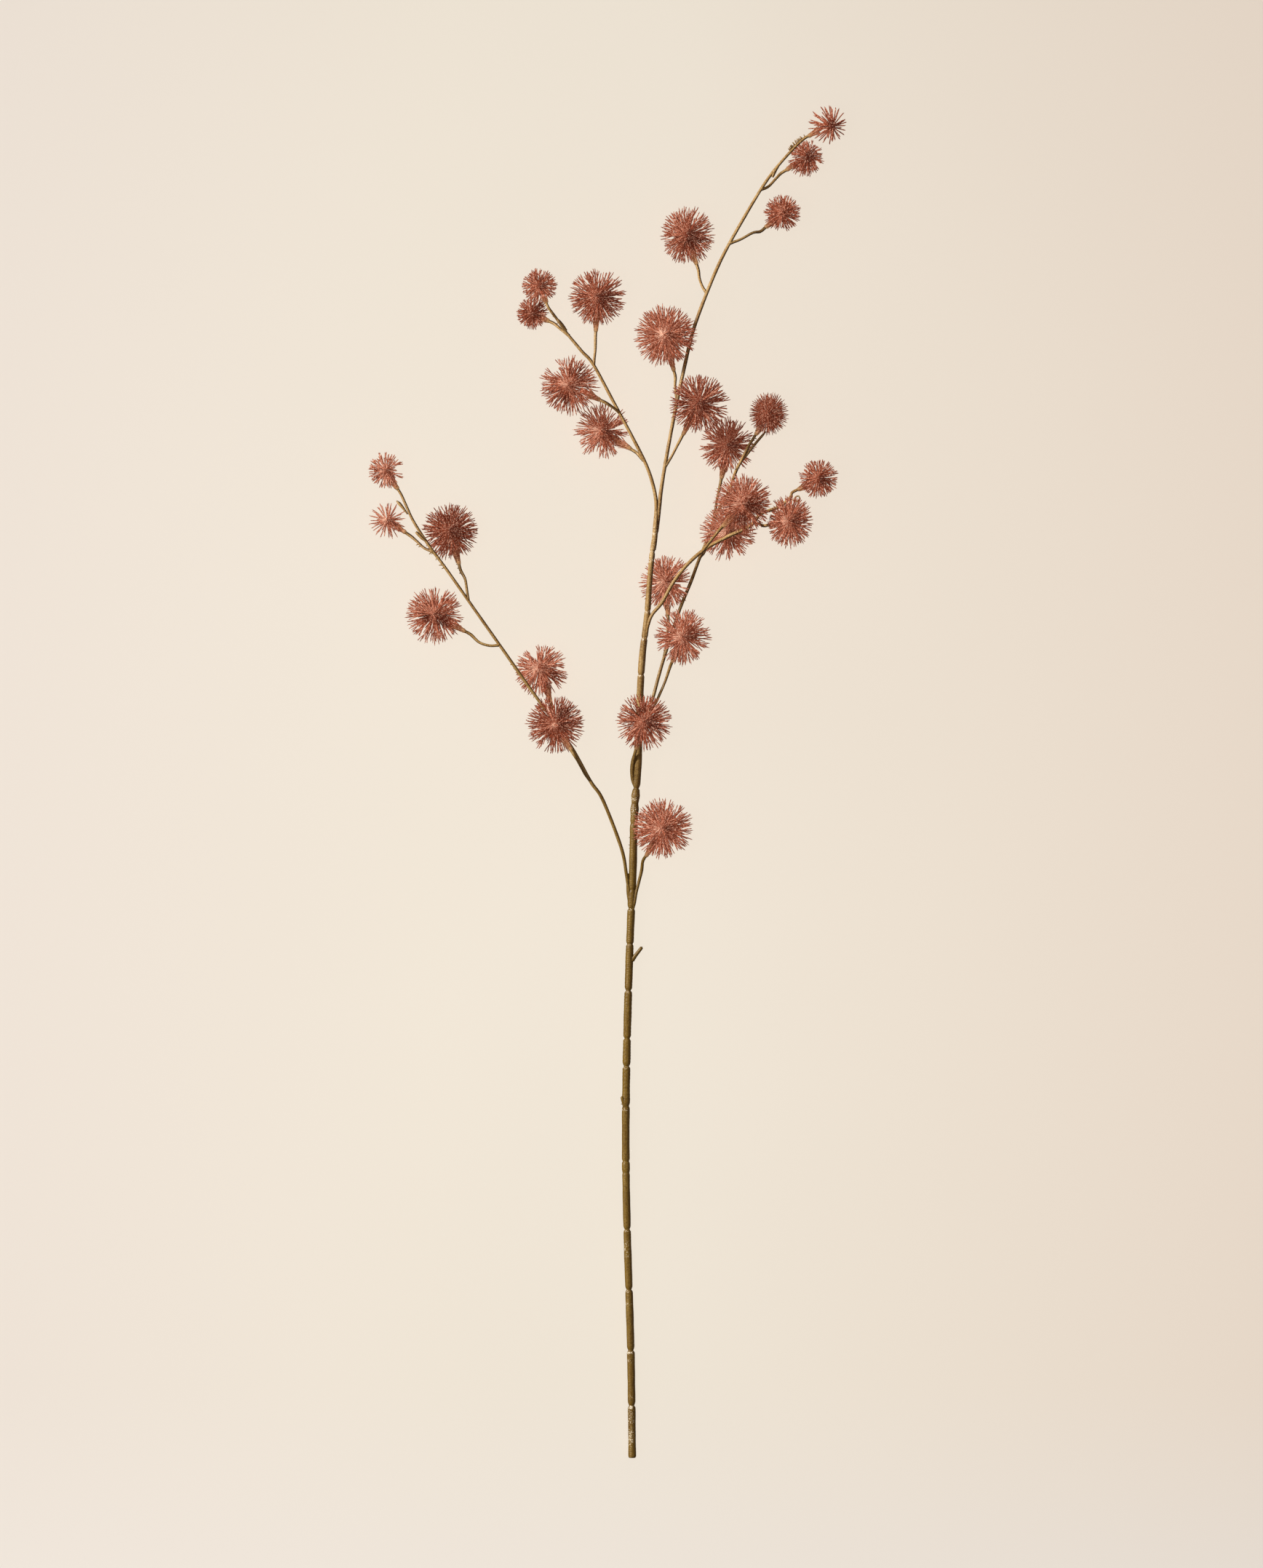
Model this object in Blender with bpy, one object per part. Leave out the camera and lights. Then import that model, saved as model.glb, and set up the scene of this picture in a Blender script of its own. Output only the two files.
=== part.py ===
"""Dried thistle branch, lying on a table: one jointed stem, four side branches and 27 spiny heads.

The branch lies along +Y, cut end at -Y, with z = 0 at the table top. Every head is a spiny ball on a
calyx, a cone that tapers to the stalk which carries it. Each side branch is a body of its own, with
its stalks fused to it, and ends a small gap short of what it grows from.
"""

import math

import bmesh
import bpy
import numpy as np
from mathutils import Vector

MM = 0.001

# Driving dimensions, in millimetres.
GAP = 0.3  # between bodies that touch in the real branch
CORE_SHARE = 0.42  # a head's solid core, as a share of its radius to the spine tips
CALYX_FOOT_RADIUS = 1.25
STALK_START_RADIUS = 0.9
STALK_END_RADIUS = 1.05
APPROACH = 4.0  # the last straight stretch of a stalk, in line with its calyx
BARE_ANGLE = math.radians(48.0)  # around the calyx no spine grows
SPINE_CLEARANCE = 0.6  # from a spine to a passing stem
SPINE_BASE_SHARE = 0.34  # half the width of a spine's base, as a share of the core radius
SHORTEST_SPINE = 0.25  # a spine cut back to less than this share of its length is left out
SPINE_TESTS = 15
BLOCKER_STEP = 1.0
MAIN_STEP = 22.0
BRANCH_STEP = 15.0
STALK_STEP = 7.0

# Routes run from the base outwards: x, y, z and radius of the stem there.
MAIN_STEM = [
    (16.7, -448.8, 2.5, 2.45),
    (15.7, -377.0, 4.6, 2.45),
    (13.3, -297.0, 7.5, 2.40),
    (12.4, -235.0, 9.8, 2.45),
    (13.3, -170.0, 12.8, 2.45),
    (15.2, -107.0, 16.4, 2.40),
    (17.1, -60.0, 19.6, 2.45),
    (18.1, -21.5, 22.8, 2.40),
    (20.5, 12.5, 25.8, 2.40),
    (22.0, 60.5, 30.0, 2.25),
    (23.6, 86.0, 32.2, 2.15),
    (26.4, 109.0, 34.0, 2.00),
    (28.2, 133.0, 35.7, 1.75),
    (30.2, 154.0, 37.0, 1.70),
    (33.1, 171.5, 38.0, 1.55),
    (36.8, 200.5, 39.4, 1.20),
    (44.2, 241.5, 41.0, 1.15),
    (51.9, 278.0, 41.4, 1.15),
    (57.2, 299.5, 41.0, 1.12),
    (65.9, 323.5, 39.6, 1.10),
    (76.5, 348.0, 37.8, 1.05),
    (92.0, 376.0, 36.2, 1.00),
    (106.5, 399.5, 35.0, 0.95),
    (120.5, 416.5, 34.2, 0.90),
]
BRANCH_LEFT = [
    (12.8, -60.5, 20.4, 1.10),
    (9.4, -43.0, 21.8, 1.15),
    (-2.7, -11.5, 25.6, 1.15),
    (-10.9, 1.0, 28.0, 1.15),
    (-22.5, 22.0, 30.5, 1.10),
    (-36.0, 42.0, 31.6, 1.10),
    (-50.9, 62.5, 32.3, 1.05),
    (-69.8, 89.5, 32.6, 1.05),
    (-86.7, 113.5, 32.2, 1.00),
    (-107.4, 143.0, 31.2, 1.00),
    (-117.1, 156.0, 30.2, 1.00),
    (-127.7, 172.5, 28.6, 0.95),
    (-132.5, 182.5, 27.2, 0.90),
]
BRANCH_UPPER_LEFT = [
    (32.0, 186.5, 39.2, 1.00),
    (30.2, 197.0, 39.0, 1.15),
    (25.8, 210.5, 38.2, 1.15),
    (17.1, 228.0, 36.8, 1.10),
    (5.1, 250.5, 35.4, 1.05),
    (-8.9, 276.5, 35.0, 1.05),
    (-16.7, 285.5, 35.2, 1.05),
    (-26.3, 297.0, 36.6, 1.00),
    (-29.6, 301.5, 39.6, 0.95),
    (-33.6, 307.0, 44.4, 0.90),
]
BRANCH_RIGHT_FRONT = [
    (30.6, 111.5, 36.0, 1.10),
    (36.5, 119.5, 36.8, 1.20),
    (44.2, 133.0, 38.0, 1.20),
    (53.8, 145.0, 39.0, 1.20),
    (64.9, 154.5, 39.8, 1.20),
    (79.4, 162.5, 41.2, 1.20),
    (94.4, 169.5, 41.2, 1.15),
    (101.6, 177.5, 40.2, 1.10),
    (113.7, 182.5, 38.6, 1.05),
    (121.0, 188.5, 37.8, 1.00),
]
BRANCH_RIGHT_REAR = [
    (25.6, 43.5, 28.0, 1.00),
    (30.2, 56.0, 28.8, 1.10),
    (34.0, 70.0, 28.4, 1.10),
    (38.4, 85.0, 27.0, 1.10),
    (47.6, 113.5, 23.0, 1.10),
    (55.8, 134.0, 19.2, 1.10),
    (61.1, 148.5, 16.0, 1.10),
    (67.8, 164.5, 12.8, 1.10),
    (72.7, 179.0, 14.0, 1.10),
    (79.9, 191.0, 19.0, 1.10),
    (85.2, 206.0, 26.0, 1.05),
    (89.0, 213.5, 30.0, 1.00),
    (94.0, 223.5, 33.0, 0.95),
]
BRANCHES = {
    "main_stem": (MAIN_STEM, MAIN_STEP),
    "branch_left": (BRANCH_LEFT, BRANCH_STEP),
    "branch_upper_left": (BRANCH_UPPER_LEFT, BRANCH_STEP),
    "branch_right_front": (BRANCH_RIGHT_FRONT, BRANCH_STEP),
    "branch_right_rear": (BRANCH_RIGHT_REAR, BRANCH_STEP),
}

# Snapped-off stubs on the main stem: where they leave it, their tip and their radius.
STUBS = [
    ((16.5, -116.5, 16.0), (23.0, -109.0, 17.6), 0.85),
    ((12.0, -216.0, 11.0), (9.3, -207.0, 11.6), 0.80),
]

# Heads at the end of a branch: centre, radius to the spine tips, and foot of the calyx.
END_HEADS = {
    "head_stem_1": ("main_stem", (146.0, 435.7, 32.0), 13.0, (133.0, 427.6, 33.2)),
    "head_left_1": ("branch_left", (-146.5, 206.9, 24.0), 12.6, (-138.5, 194.4, 25.2)),
    "head_upper_left_1": ("branch_upper_left", (-44.7, 328.1, 38.0), 12.1, (-39.8, 316.6, 45.3)),
    "head_right_front_1": ("branch_right_front", (139.8, 201.1, 38.0), 13.5, (125.9, 193.7, 37.6)),
    "head_right_rear_1": ("branch_right_rear", (106.9, 244.0, 36.0), 14.0, (98.2, 230.1, 34.2)),
}

# Heads on stalks: branch, where the stalk leaves it (x, y), bends, centre, radius, calyx foot.
STALKED_HEADS = {
    "head_stem_2": (
        "main_stem", (103.0, 391.5), [(106.6, 394.4, 32.2), (112.5, 400.8, 27.6)],
        (131.1, 414.0, 22.0), 12.6, (118.6, 406.0, 23.0),
    ),
    "head_stem_3": (
        "main_stem", (81.8, 356.0), [(87.5, 357.5, 36.0), (95.5, 361.5, 31.5)],
        (116.1, 377.3, 26.0), 12.6, (104.6, 367.7, 27.0),
    ),
    "head_stem_4": (
        "main_stem", (65.9, 323.5), [(63.6, 331.0, 35.5)],
        (53.3, 362.8, 19.4), 19.3, (60.3, 342.3, 26.3),
    ),
    "head_stem_5": (
        "main_stem", (46.0, 252.0), [(45.0, 261.5, 41.6)],
        (38.4, 294.8, 50.0), 20.8, (44.2, 271.8, 44.0),
    ),
    "head_stem_6": (
        "main_stem", (38.4, 208.5), [(42.0, 214.5, 40.2), (46.0, 222.0, 41.6)],
        (60.6, 249.9, 52.0), 20.3, (50.0, 229.6, 45.0),
    ),
    "head_stem_7": (
        "main_stem", (19.5, -3.5), [(16.0, 2.0, 26.0), (15.0, 8.0, 27.5), (15.8, 14.0, 29.0)],
        (24.4, 40.3, 46.0), 19.3, (19.1, 22.0, 33.0),
    ),
    "head_stem_8": (
        "main_stem", (16.8, -73.0), [(21.0, -65.0, 18.8), (22.8, -58.0, 20.6)],
        (36.9, -30.2, 36.0), 20.3, (25.6, -48.7, 25.0),
    ),
    "head_left_2": (
        "branch_left", (-114.8, 153.0), [(-121.0, 155.5, 27.5), (-126.5, 160.5, 22.8)],
        (-145.6, 174.1, 18.0), 12.6, (-133.4, 165.8, 20.0),
    ),
    "head_left_3": (
        "branch_left", (-91.5, 120.5), [(-92.8, 128.0, 30.0), (-94.0, 135.0, 26.0)],
        (-104.0, 166.8, 19.4), 19.3, (-98.0, 144.6, 22.4),
    ),
    "head_left_4": (
        "branch_left", (-71.3, 91.5), [(-77.5, 90.8, 32.0), (-84.5, 93.0, 30.6)],
        (-114.2, 111.3, 26.0), 19.8, (-93.7, 100.1, 29.0),
    ),
    "head_left_5": (
        "branch_left", (-31.5, 35.5), [(-32.8, 40.0, 27.0), (-34.8, 45.0, 22.4)],
        (-43.7, 74.1, 18.4), 18.3, (-37.4, 53.1, 20.4),
    ),
    "head_left_6": (
        "branch_left", (-11.2, 1.5), [(-14.0, 5.0, 34.0), (-17.0, 10.5, 44.5), (-19.4, 14.8, 52.0)],
        (-34.0, 38.4, 42.0), 19.8, (-23.3, 21.2, 53.7),
    ),
    "head_upper_left_2": (
        "branch_upper_left", (-25.5, 296.0), [(-30.0, 299.6, 32.4)],
        (-49.5, 311.2, 22.0), 11.1, (-38.2, 305.6, 26.0),
    ),
    "head_upper_left_3": (
        "branch_upper_left", (-8.9, 276.5), [(-7.8, 286.0, 34.4)],
        (-6.5, 321.3, 30.0), 19.8, (-7.5, 298.1, 33.0),
    ),
    "head_upper_left_4": (
        "branch_upper_left", (8.0, 245.0), [(4.0, 248.0, 40.0)],
        (-24.9, 262.4, 38.0), 20.3, (-4.4, 252.7, 42.5),
    ),
    "head_upper_left_5": (
        "branch_upper_left", (24.5, 213.0), [(23.8, 213.4, 32.5), (21.8, 216.0, 27.0)],
        (-3.1, 233.4, 19.8), 19.8, (16.2, 220.9, 23.8),
    ),
    "head_right_front_2": (
        "branch_right_front", (96.5, 171.5), [(100.0, 171.5, 35.0)],
        (120.5, 172.6, 46.0), 17.0, (106.5, 170.6, 32.0),
    ),
    "head_right_front_3": (
        "branch_right_front", (63.5, 153.5), [(66.0, 156.5, 46.0), (68.8, 160.0, 55.5), (71.5, 163.2, 62.6)],
        (89.6, 183.7, 50.0), 20.3, (75.7, 168.2, 62.0),
    ),
    "head_right_rear_2": (
        "branch_right_rear", (71.0, 174.0), [(72.6, 186.0, 15.0), (73.8, 192.0, 16.4)],
        (79.9, 223.8, 19.4), 19.3, (75.7, 201.4, 18.2),
    ),
    "head_right_rear_3": (
        "branch_right_rear", (61.8, 150.5), [(64.2, 152.6, 10.5)],
        (79.9, 165.4, 28.0), 19.3, (68.5, 158.6, 10.0),
    ),
    "head_right_rear_4": (
        "branch_right_rear", (37.9, 83.5), [(39.5, 93.0, 24.4), (40.0, 101.0, 21.8)],
        (38.9, 133.0, 18.8), 18.8, (40.3, 110.8, 20.8),
    ),
    "head_right_rear_5": (
        "branch_right_rear", (26.8, 46.5), [(31.4, 51.5, 27.6), (35.0, 59.0, 27.0), (38.4, 67.0, 27.0)],
        (50.0, 96.3, 46.0), 19.3, (43.0, 79.8, 32.0),
    ),
}


def clear_scene():
    for thing in list(bpy.data.objects):
        bpy.data.objects.remove(thing, do_unlink=True)


def new_collection(name):
    made = bpy.data.collections.new(name)
    bpy.context.scene.collection.children.link(made)
    return made


def plain_material(name, colour, roughness):
    made = bpy.data.materials.new(name)
    made.use_nodes = True
    shader = made.node_tree.nodes["Principled BSDF"]
    shader.inputs["Base Color"].default_value = (*colour, 1.0)
    shader.inputs["Roughness"].default_value = roughness
    shader.inputs["Metallic"].default_value = 0.0
    return made


def smooth_route(points, step):
    """Rows of x, y, z and radius, about one step apart, on a Catmull-Rom curve through the points."""
    knots = np.array(points, float)
    ends = 2 * knots[[0, -1]] - knots[[1, -2]]
    padded = np.vstack([ends[0], knots, ends[1]])
    rows = [knots[0]]
    for before, start, end, after in zip(padded, padded[1:], padded[2:], padded[3:]):
        pieces = max(1, round(np.linalg.norm((end - start)[:3]) / step))
        for t in np.arange(1, pieces + 1) / pieces:
            bend = (end - before) * t + (2 * before - 5 * start + 4 * end - after) * t**2
            bend += (3 * start - before - 3 * end + after) * t**3
            rows.append(start + bend / 2)
    return np.array(rows)


def point_on(route, x, y):
    """The point of a route that is nearest to x, y in plan."""
    best = None
    for start, end in zip(route, route[1:]):
        along = end[:2] - start[:2]
        t = np.clip((np.array([x, y]) - start[:2]) @ along / (along @ along), 0.0, 1.0)
        spot = start + t * (end - start)
        distance = np.linalg.norm(spot[:2] - [x, y])
        if best is None or distance < best[0]:
            best = (distance, spot)
    return best[1]


def with_foot(points, centre, foot, radius):
    """A route's points, led straight into the calyx foot and ending one gap short of it."""
    centre = np.array(centre)
    foot = np.array(foot)
    outwards = (foot - centre) / np.linalg.norm(foot - centre)
    approach = foot + APPROACH * outwards
    end = foot + GAP * outwards
    return [*points, (*approach, radius), (*end, radius)]


def tube(name, route, owner):
    """A round bar of changing radius along a route, as a closed mesh."""
    curve = bpy.data.curves.new(name, "CURVE")
    curve.dimensions = "3D"
    curve.bevel_depth = MM
    curve.bevel_resolution = 2
    curve.use_fill_caps = True
    spline = curve.splines.new("POLY")
    spline.points.add(len(route) - 1)
    for point, (x, y, z, radius) in zip(spline.points, route):
        point.co = (x * MM, y * MM, z * MM, 1.0)
        point.radius = radius
    guide = bpy.data.objects.new(name + "_guide", curve)
    owner.objects.link(guide)
    bpy.context.view_layer.update()
    evaluated = guide.evaluated_get(bpy.context.evaluated_depsgraph_get())
    mesh = bpy.data.meshes.new_from_object(evaluated)
    made = bpy.data.objects.new(name, mesh)
    made.matrix_world = guide.matrix_world
    owner.objects.link(made)
    bpy.data.objects.remove(guide)
    weld(mesh)
    mesh.shade_smooth()
    mesh.set_sharp_from_angle(angle=math.radians(50.0))
    return made


def weld(mesh):
    bm = bmesh.new()
    bm.from_mesh(mesh)
    bmesh.ops.remove_doubles(bm, verts=bm.verts, dist=0.01 * MM)
    bmesh.ops.recalc_face_normals(bm, faces=bm.faces)
    bm.to_mesh(mesh)
    bm.free()


def fuse(body, addition):
    """Joins a tool body to another with a Boolean union, and hides the tool."""
    addition.hide_render = True
    addition.display_type = "WIRE"
    union = body.modifiers.new(addition.name, "BOOLEAN")
    union.operation = "UNION"
    union.solver = "EXACT"
    union.object = addition


def all_routes():
    """The branches' own routes, and for each branch the routes of what is fused to it."""
    trunks = {}
    for name, (points, step) in BRANCHES.items():
        _, centre, _, foot = next(head for head in END_HEADS.values() if head[0] == name)
        trunks[name] = smooth_route(with_foot(points, centre, foot, points[-1][3]), step)
    twigs = {name: {} for name in BRANCHES}
    for head, (branch, (x, y), bends, centre, _, foot) in STALKED_HEADS.items():
        start = (*point_on(trunks[branch], x, y)[:3], STALK_START_RADIUS)
        points = [start, *[(*bend, STALK_START_RADIUS) for bend in bends]]
        route = with_foot(points, centre, foot, STALK_END_RADIUS)
        twigs[branch]["stalk_of_" + head] = smooth_route(route, STALK_STEP)
    for number, (start, tip, radius) in enumerate(STUBS, 1):
        twigs["main_stem"][f"stub_{number}"] = np.array([(*start, radius), (*tip, radius)])
    return trunks, twigs


def spread_points(route):
    """Points close together along a route, each with the stem's radius there."""
    rows = []
    for start, end in zip(route, route[1:]):
        pieces = max(1, math.ceil(np.linalg.norm((end - start)[:3]) / BLOCKER_STEP))
        rows.extend(start + (end - start) * step / pieces for step in range(pieces + 1))
    return rows


def calyx_route(centre, radius, foot):
    wide = (*centre, CORE_SHARE * radius)
    return np.array([wide, (*foot, CALYX_FOOT_RADIUS)])


def head_table():
    """Name, centre, radius and calyx foot of every head."""
    rows = [(name, *head[1:]) for name, head in END_HEADS.items()]
    rows += [(name, *head[3:]) for name, head in STALKED_HEADS.items()]
    return [(name, np.array(c), r, np.array(foot)) for name, c, r, foot in rows]


def blockers_for(head, heads, routes):
    """Everything that a head's spines stay clear of: all stems, and the other heads' calyxes."""
    rows = [row for route in routes for row in spread_points(route)]
    for name, centre, radius, foot in heads:
        if name != head:
            rows += spread_points(calyx_route(centre, radius, foot))
    return np.array(rows)


def borders_for(head, heads):
    """Planes between a head and those it would run into: normal, and the limit along it."""
    _, centre, radius, _ = next(row for row in heads if row[0] == head)
    planes = []
    for name, other, reach, _ in heads:
        away = other - centre
        distance = np.linalg.norm(away)
        if name != head and distance < radius + reach + GAP:
            limit = (distance**2 + radius**2 - reach**2) / (2 * distance)
            planes.append((away / distance, away @ centre / distance + limit - GAP))
    return planes


def clear_share(base, tip, half_width, blockers, planes):
    """How much of a spine from base to tip is free, from 0 to 1."""
    shares = np.linspace(0.0, 1.0, SPINE_TESTS)
    line = base + shares[:, None] * (tip - base)
    widths = half_width * (1.0 - shares)
    room = np.linalg.norm(line[:, None] - blockers[:, :3], axis=2) - blockers[:, 3]
    blocked = room.min(axis=1) < widths + SPINE_CLEARANCE
    for normal, limit in planes:
        blocked |= line @ normal + widths > limit
    free = np.argmax(blocked) if blocked.any() else SPINE_TESTS
    return shares[free - 1] if free > 0 else 0.0


def spiny_head(name, centre, radius, foot, blockers, planes, owner, material):
    """A core with a spine on each face, and a calyx drawn out of its lowest corner."""
    core = CORE_SHARE * radius
    outwards = Vector(foot - centre)
    turn = Vector((0.0, 0.0, -1.0)).rotation_difference(outwards)
    bm = bmesh.new()
    bmesh.ops.create_icosphere(bm, subdivisions=2, radius=core)
    spined = []
    for face in bm.faces:
        direction = face.calc_center_median().normalized()
        if direction.angle(Vector((0.0, 0.0, -1.0))) < BARE_ANGLE:
            continue
        way = np.array(turn @ direction)
        share = clear_share(
            centre + core * way, centre + radius * way, SPINE_BASE_SHARE * core, blockers, planes
        )
        if share >= SHORTEST_SPINE:
            spined.append((face, direction * (core + share * (radius - core))))
    draw_calyx(bm, outwards.length)
    for face, tip in spined:
        made = bmesh.ops.poke(bm, faces=[face])
        made["verts"][0].co = tip
    bmesh.ops.triangulate(bm, faces=bm.faces)
    bmesh.ops.recalc_face_normals(bm, faces=bm.faces)
    bmesh.ops.scale(bm, vec=(MM, MM, MM), verts=bm.verts)
    mesh = bpy.data.meshes.new(name)
    bm.to_mesh(mesh)
    bm.free()
    mesh.materials.append(material)
    made = bpy.data.objects.new(name, mesh)
    made.location = Vector(centre) * MM
    made.rotation_mode = "QUATERNION"
    made.rotation_quaternion = turn
    owner.objects.link(made)
    return made


def draw_calyx(bm, reach):
    """Opens the corner that points along -Z and draws its rim out to a small flat foot."""
    corner = min(bm.verts, key=lambda vert: vert.co.z)
    rim = [edge for face in corner.link_faces for edge in face.edges if corner not in edge.verts]
    bmesh.ops.delete(bm, geom=[corner], context="VERTS")
    drawn = bmesh.ops.extrude_edge_only(bm, edges=rim)
    verts = [part for part in drawn["geom"] if isinstance(part, bmesh.types.BMVert)]
    edges = [part for part in drawn["geom"] if isinstance(part, bmesh.types.BMEdge)]
    for vert in verts:
        across = Vector((vert.co.x, vert.co.y, 0.0)).normalized()
        vert.co = across * CALYX_FOOT_RADIUS + Vector((0.0, 0.0, -reach))
    bmesh.ops.contextual_create(bm, geom=[edge for edge in edges if edge.is_boundary])


def build_branches(trunks, twigs, parts, tools, material):
    for name, trunk in trunks.items():
        body = tube(name, trunk, parts)
        body.data.materials.append(material)
        for twig, route in twigs[name].items():
            addition = tube(twig, route, tools)
            addition.data.materials.append(material)
            fuse(body, addition)


def build_heads(trunks, twigs, parts, material):
    heads = head_table()
    routes = [*trunks.values(), *[route for group in twigs.values() for route in group.values()]]
    for name, centre, radius, foot in heads:
        blockers = blockers_for(name, heads, routes)
        planes = borders_for(name, heads)
        spiny_head(name, centre, radius, foot, blockers, planes, parts, material)


def hold_together(parts):
    """Hangs every body on one empty at the origin, so that the branch moves as a whole."""
    frame = bpy.data.objects.new("branch_frame", None)
    parts.objects.link(frame)
    for body in parts.objects:
        if body is not frame:
            body.parent = frame


def main():
    clear_scene()
    parts = new_collection("dried_thistle_branch")
    tools = new_collection("union_tools")
    stem = plain_material("stem_olive_brown", (0.19, 0.125, 0.045), 0.5)
    spines = plain_material("spines_dusty_rose", (0.30, 0.11, 0.08), 0.7)
    trunks, twigs = all_routes()
    build_branches(trunks, twigs, parts, tools, stem)
    build_heads(trunks, twigs, parts, spines)
    hold_together(parts)


main()
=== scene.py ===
"""Dried thistle branch, seen from straight above: jointed olive stems and 27 spiny heads.

Lengths in the tables are in millimetres, as in the CAD source, and turn into metres where a mesh is made.
"""
import math

import bpy
import numpy as np
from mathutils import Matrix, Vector


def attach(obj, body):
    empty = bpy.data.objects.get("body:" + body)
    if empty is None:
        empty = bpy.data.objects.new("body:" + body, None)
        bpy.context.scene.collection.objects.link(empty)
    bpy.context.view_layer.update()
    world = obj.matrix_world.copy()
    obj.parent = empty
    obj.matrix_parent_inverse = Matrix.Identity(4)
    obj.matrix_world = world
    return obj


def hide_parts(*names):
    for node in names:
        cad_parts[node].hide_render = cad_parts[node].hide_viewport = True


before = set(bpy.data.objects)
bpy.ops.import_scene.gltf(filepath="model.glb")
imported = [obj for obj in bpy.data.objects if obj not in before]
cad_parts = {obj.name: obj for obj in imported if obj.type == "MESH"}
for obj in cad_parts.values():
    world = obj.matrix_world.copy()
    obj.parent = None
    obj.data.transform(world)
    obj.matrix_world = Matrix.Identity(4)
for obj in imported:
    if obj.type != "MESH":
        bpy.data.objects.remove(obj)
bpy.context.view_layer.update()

MM = 0.001
UP = np.array([0.0, 0.0, 1.0])
STEM_SEED, HEAD_SEED = 100, 200  # of the first branch and of the first head; the others count on from there
PAINTED_SHADE_SIDE = np.array([0.87, -0.50, 0.0])  # the side of the stems that the stem material paints darker, as painted shade
# Of the routes, in millimetres.
MAIN_STEP, STEP = 0.5, 1.0  # between the points of a fine route
STRAIGHT, SUNK = 4.0, 1.5  # how far outside its calyx's foot a stalk runs straight, and how far up it ends
STALK_RADIUS = 0.92
STALK_RADII = {"head_stem_7": 1.35, "head_stem_8": 1.1}  # stalks that aren't as thin as the others
OWN_STALK = 7.0  # how near to its calyx's foot a head takes no notice of stems
ROOM = 0.35  # between strands and stems
LARGE_HEAD = 15.0  # the radius above which a head has all its strands
# Of the heads, as shares of the radius.
FACE_HEIGHT = 0.80  # how far the ball reaches to its front and back
SPINDLE = 0.06  # the radius at which strands start
TUFTING = 0.06  # how far sprigs are pulled together into tufts
BUNDLES = (27, 11)  # how many bundles, fine and coarse, go round a head
ROOT_SHADING_FADE = 70  # degrees on each side over which the painted shade and light of the roots fade
BEAD_LENGTH = 2.3  # of the rings on the stems, in millimetres

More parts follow.
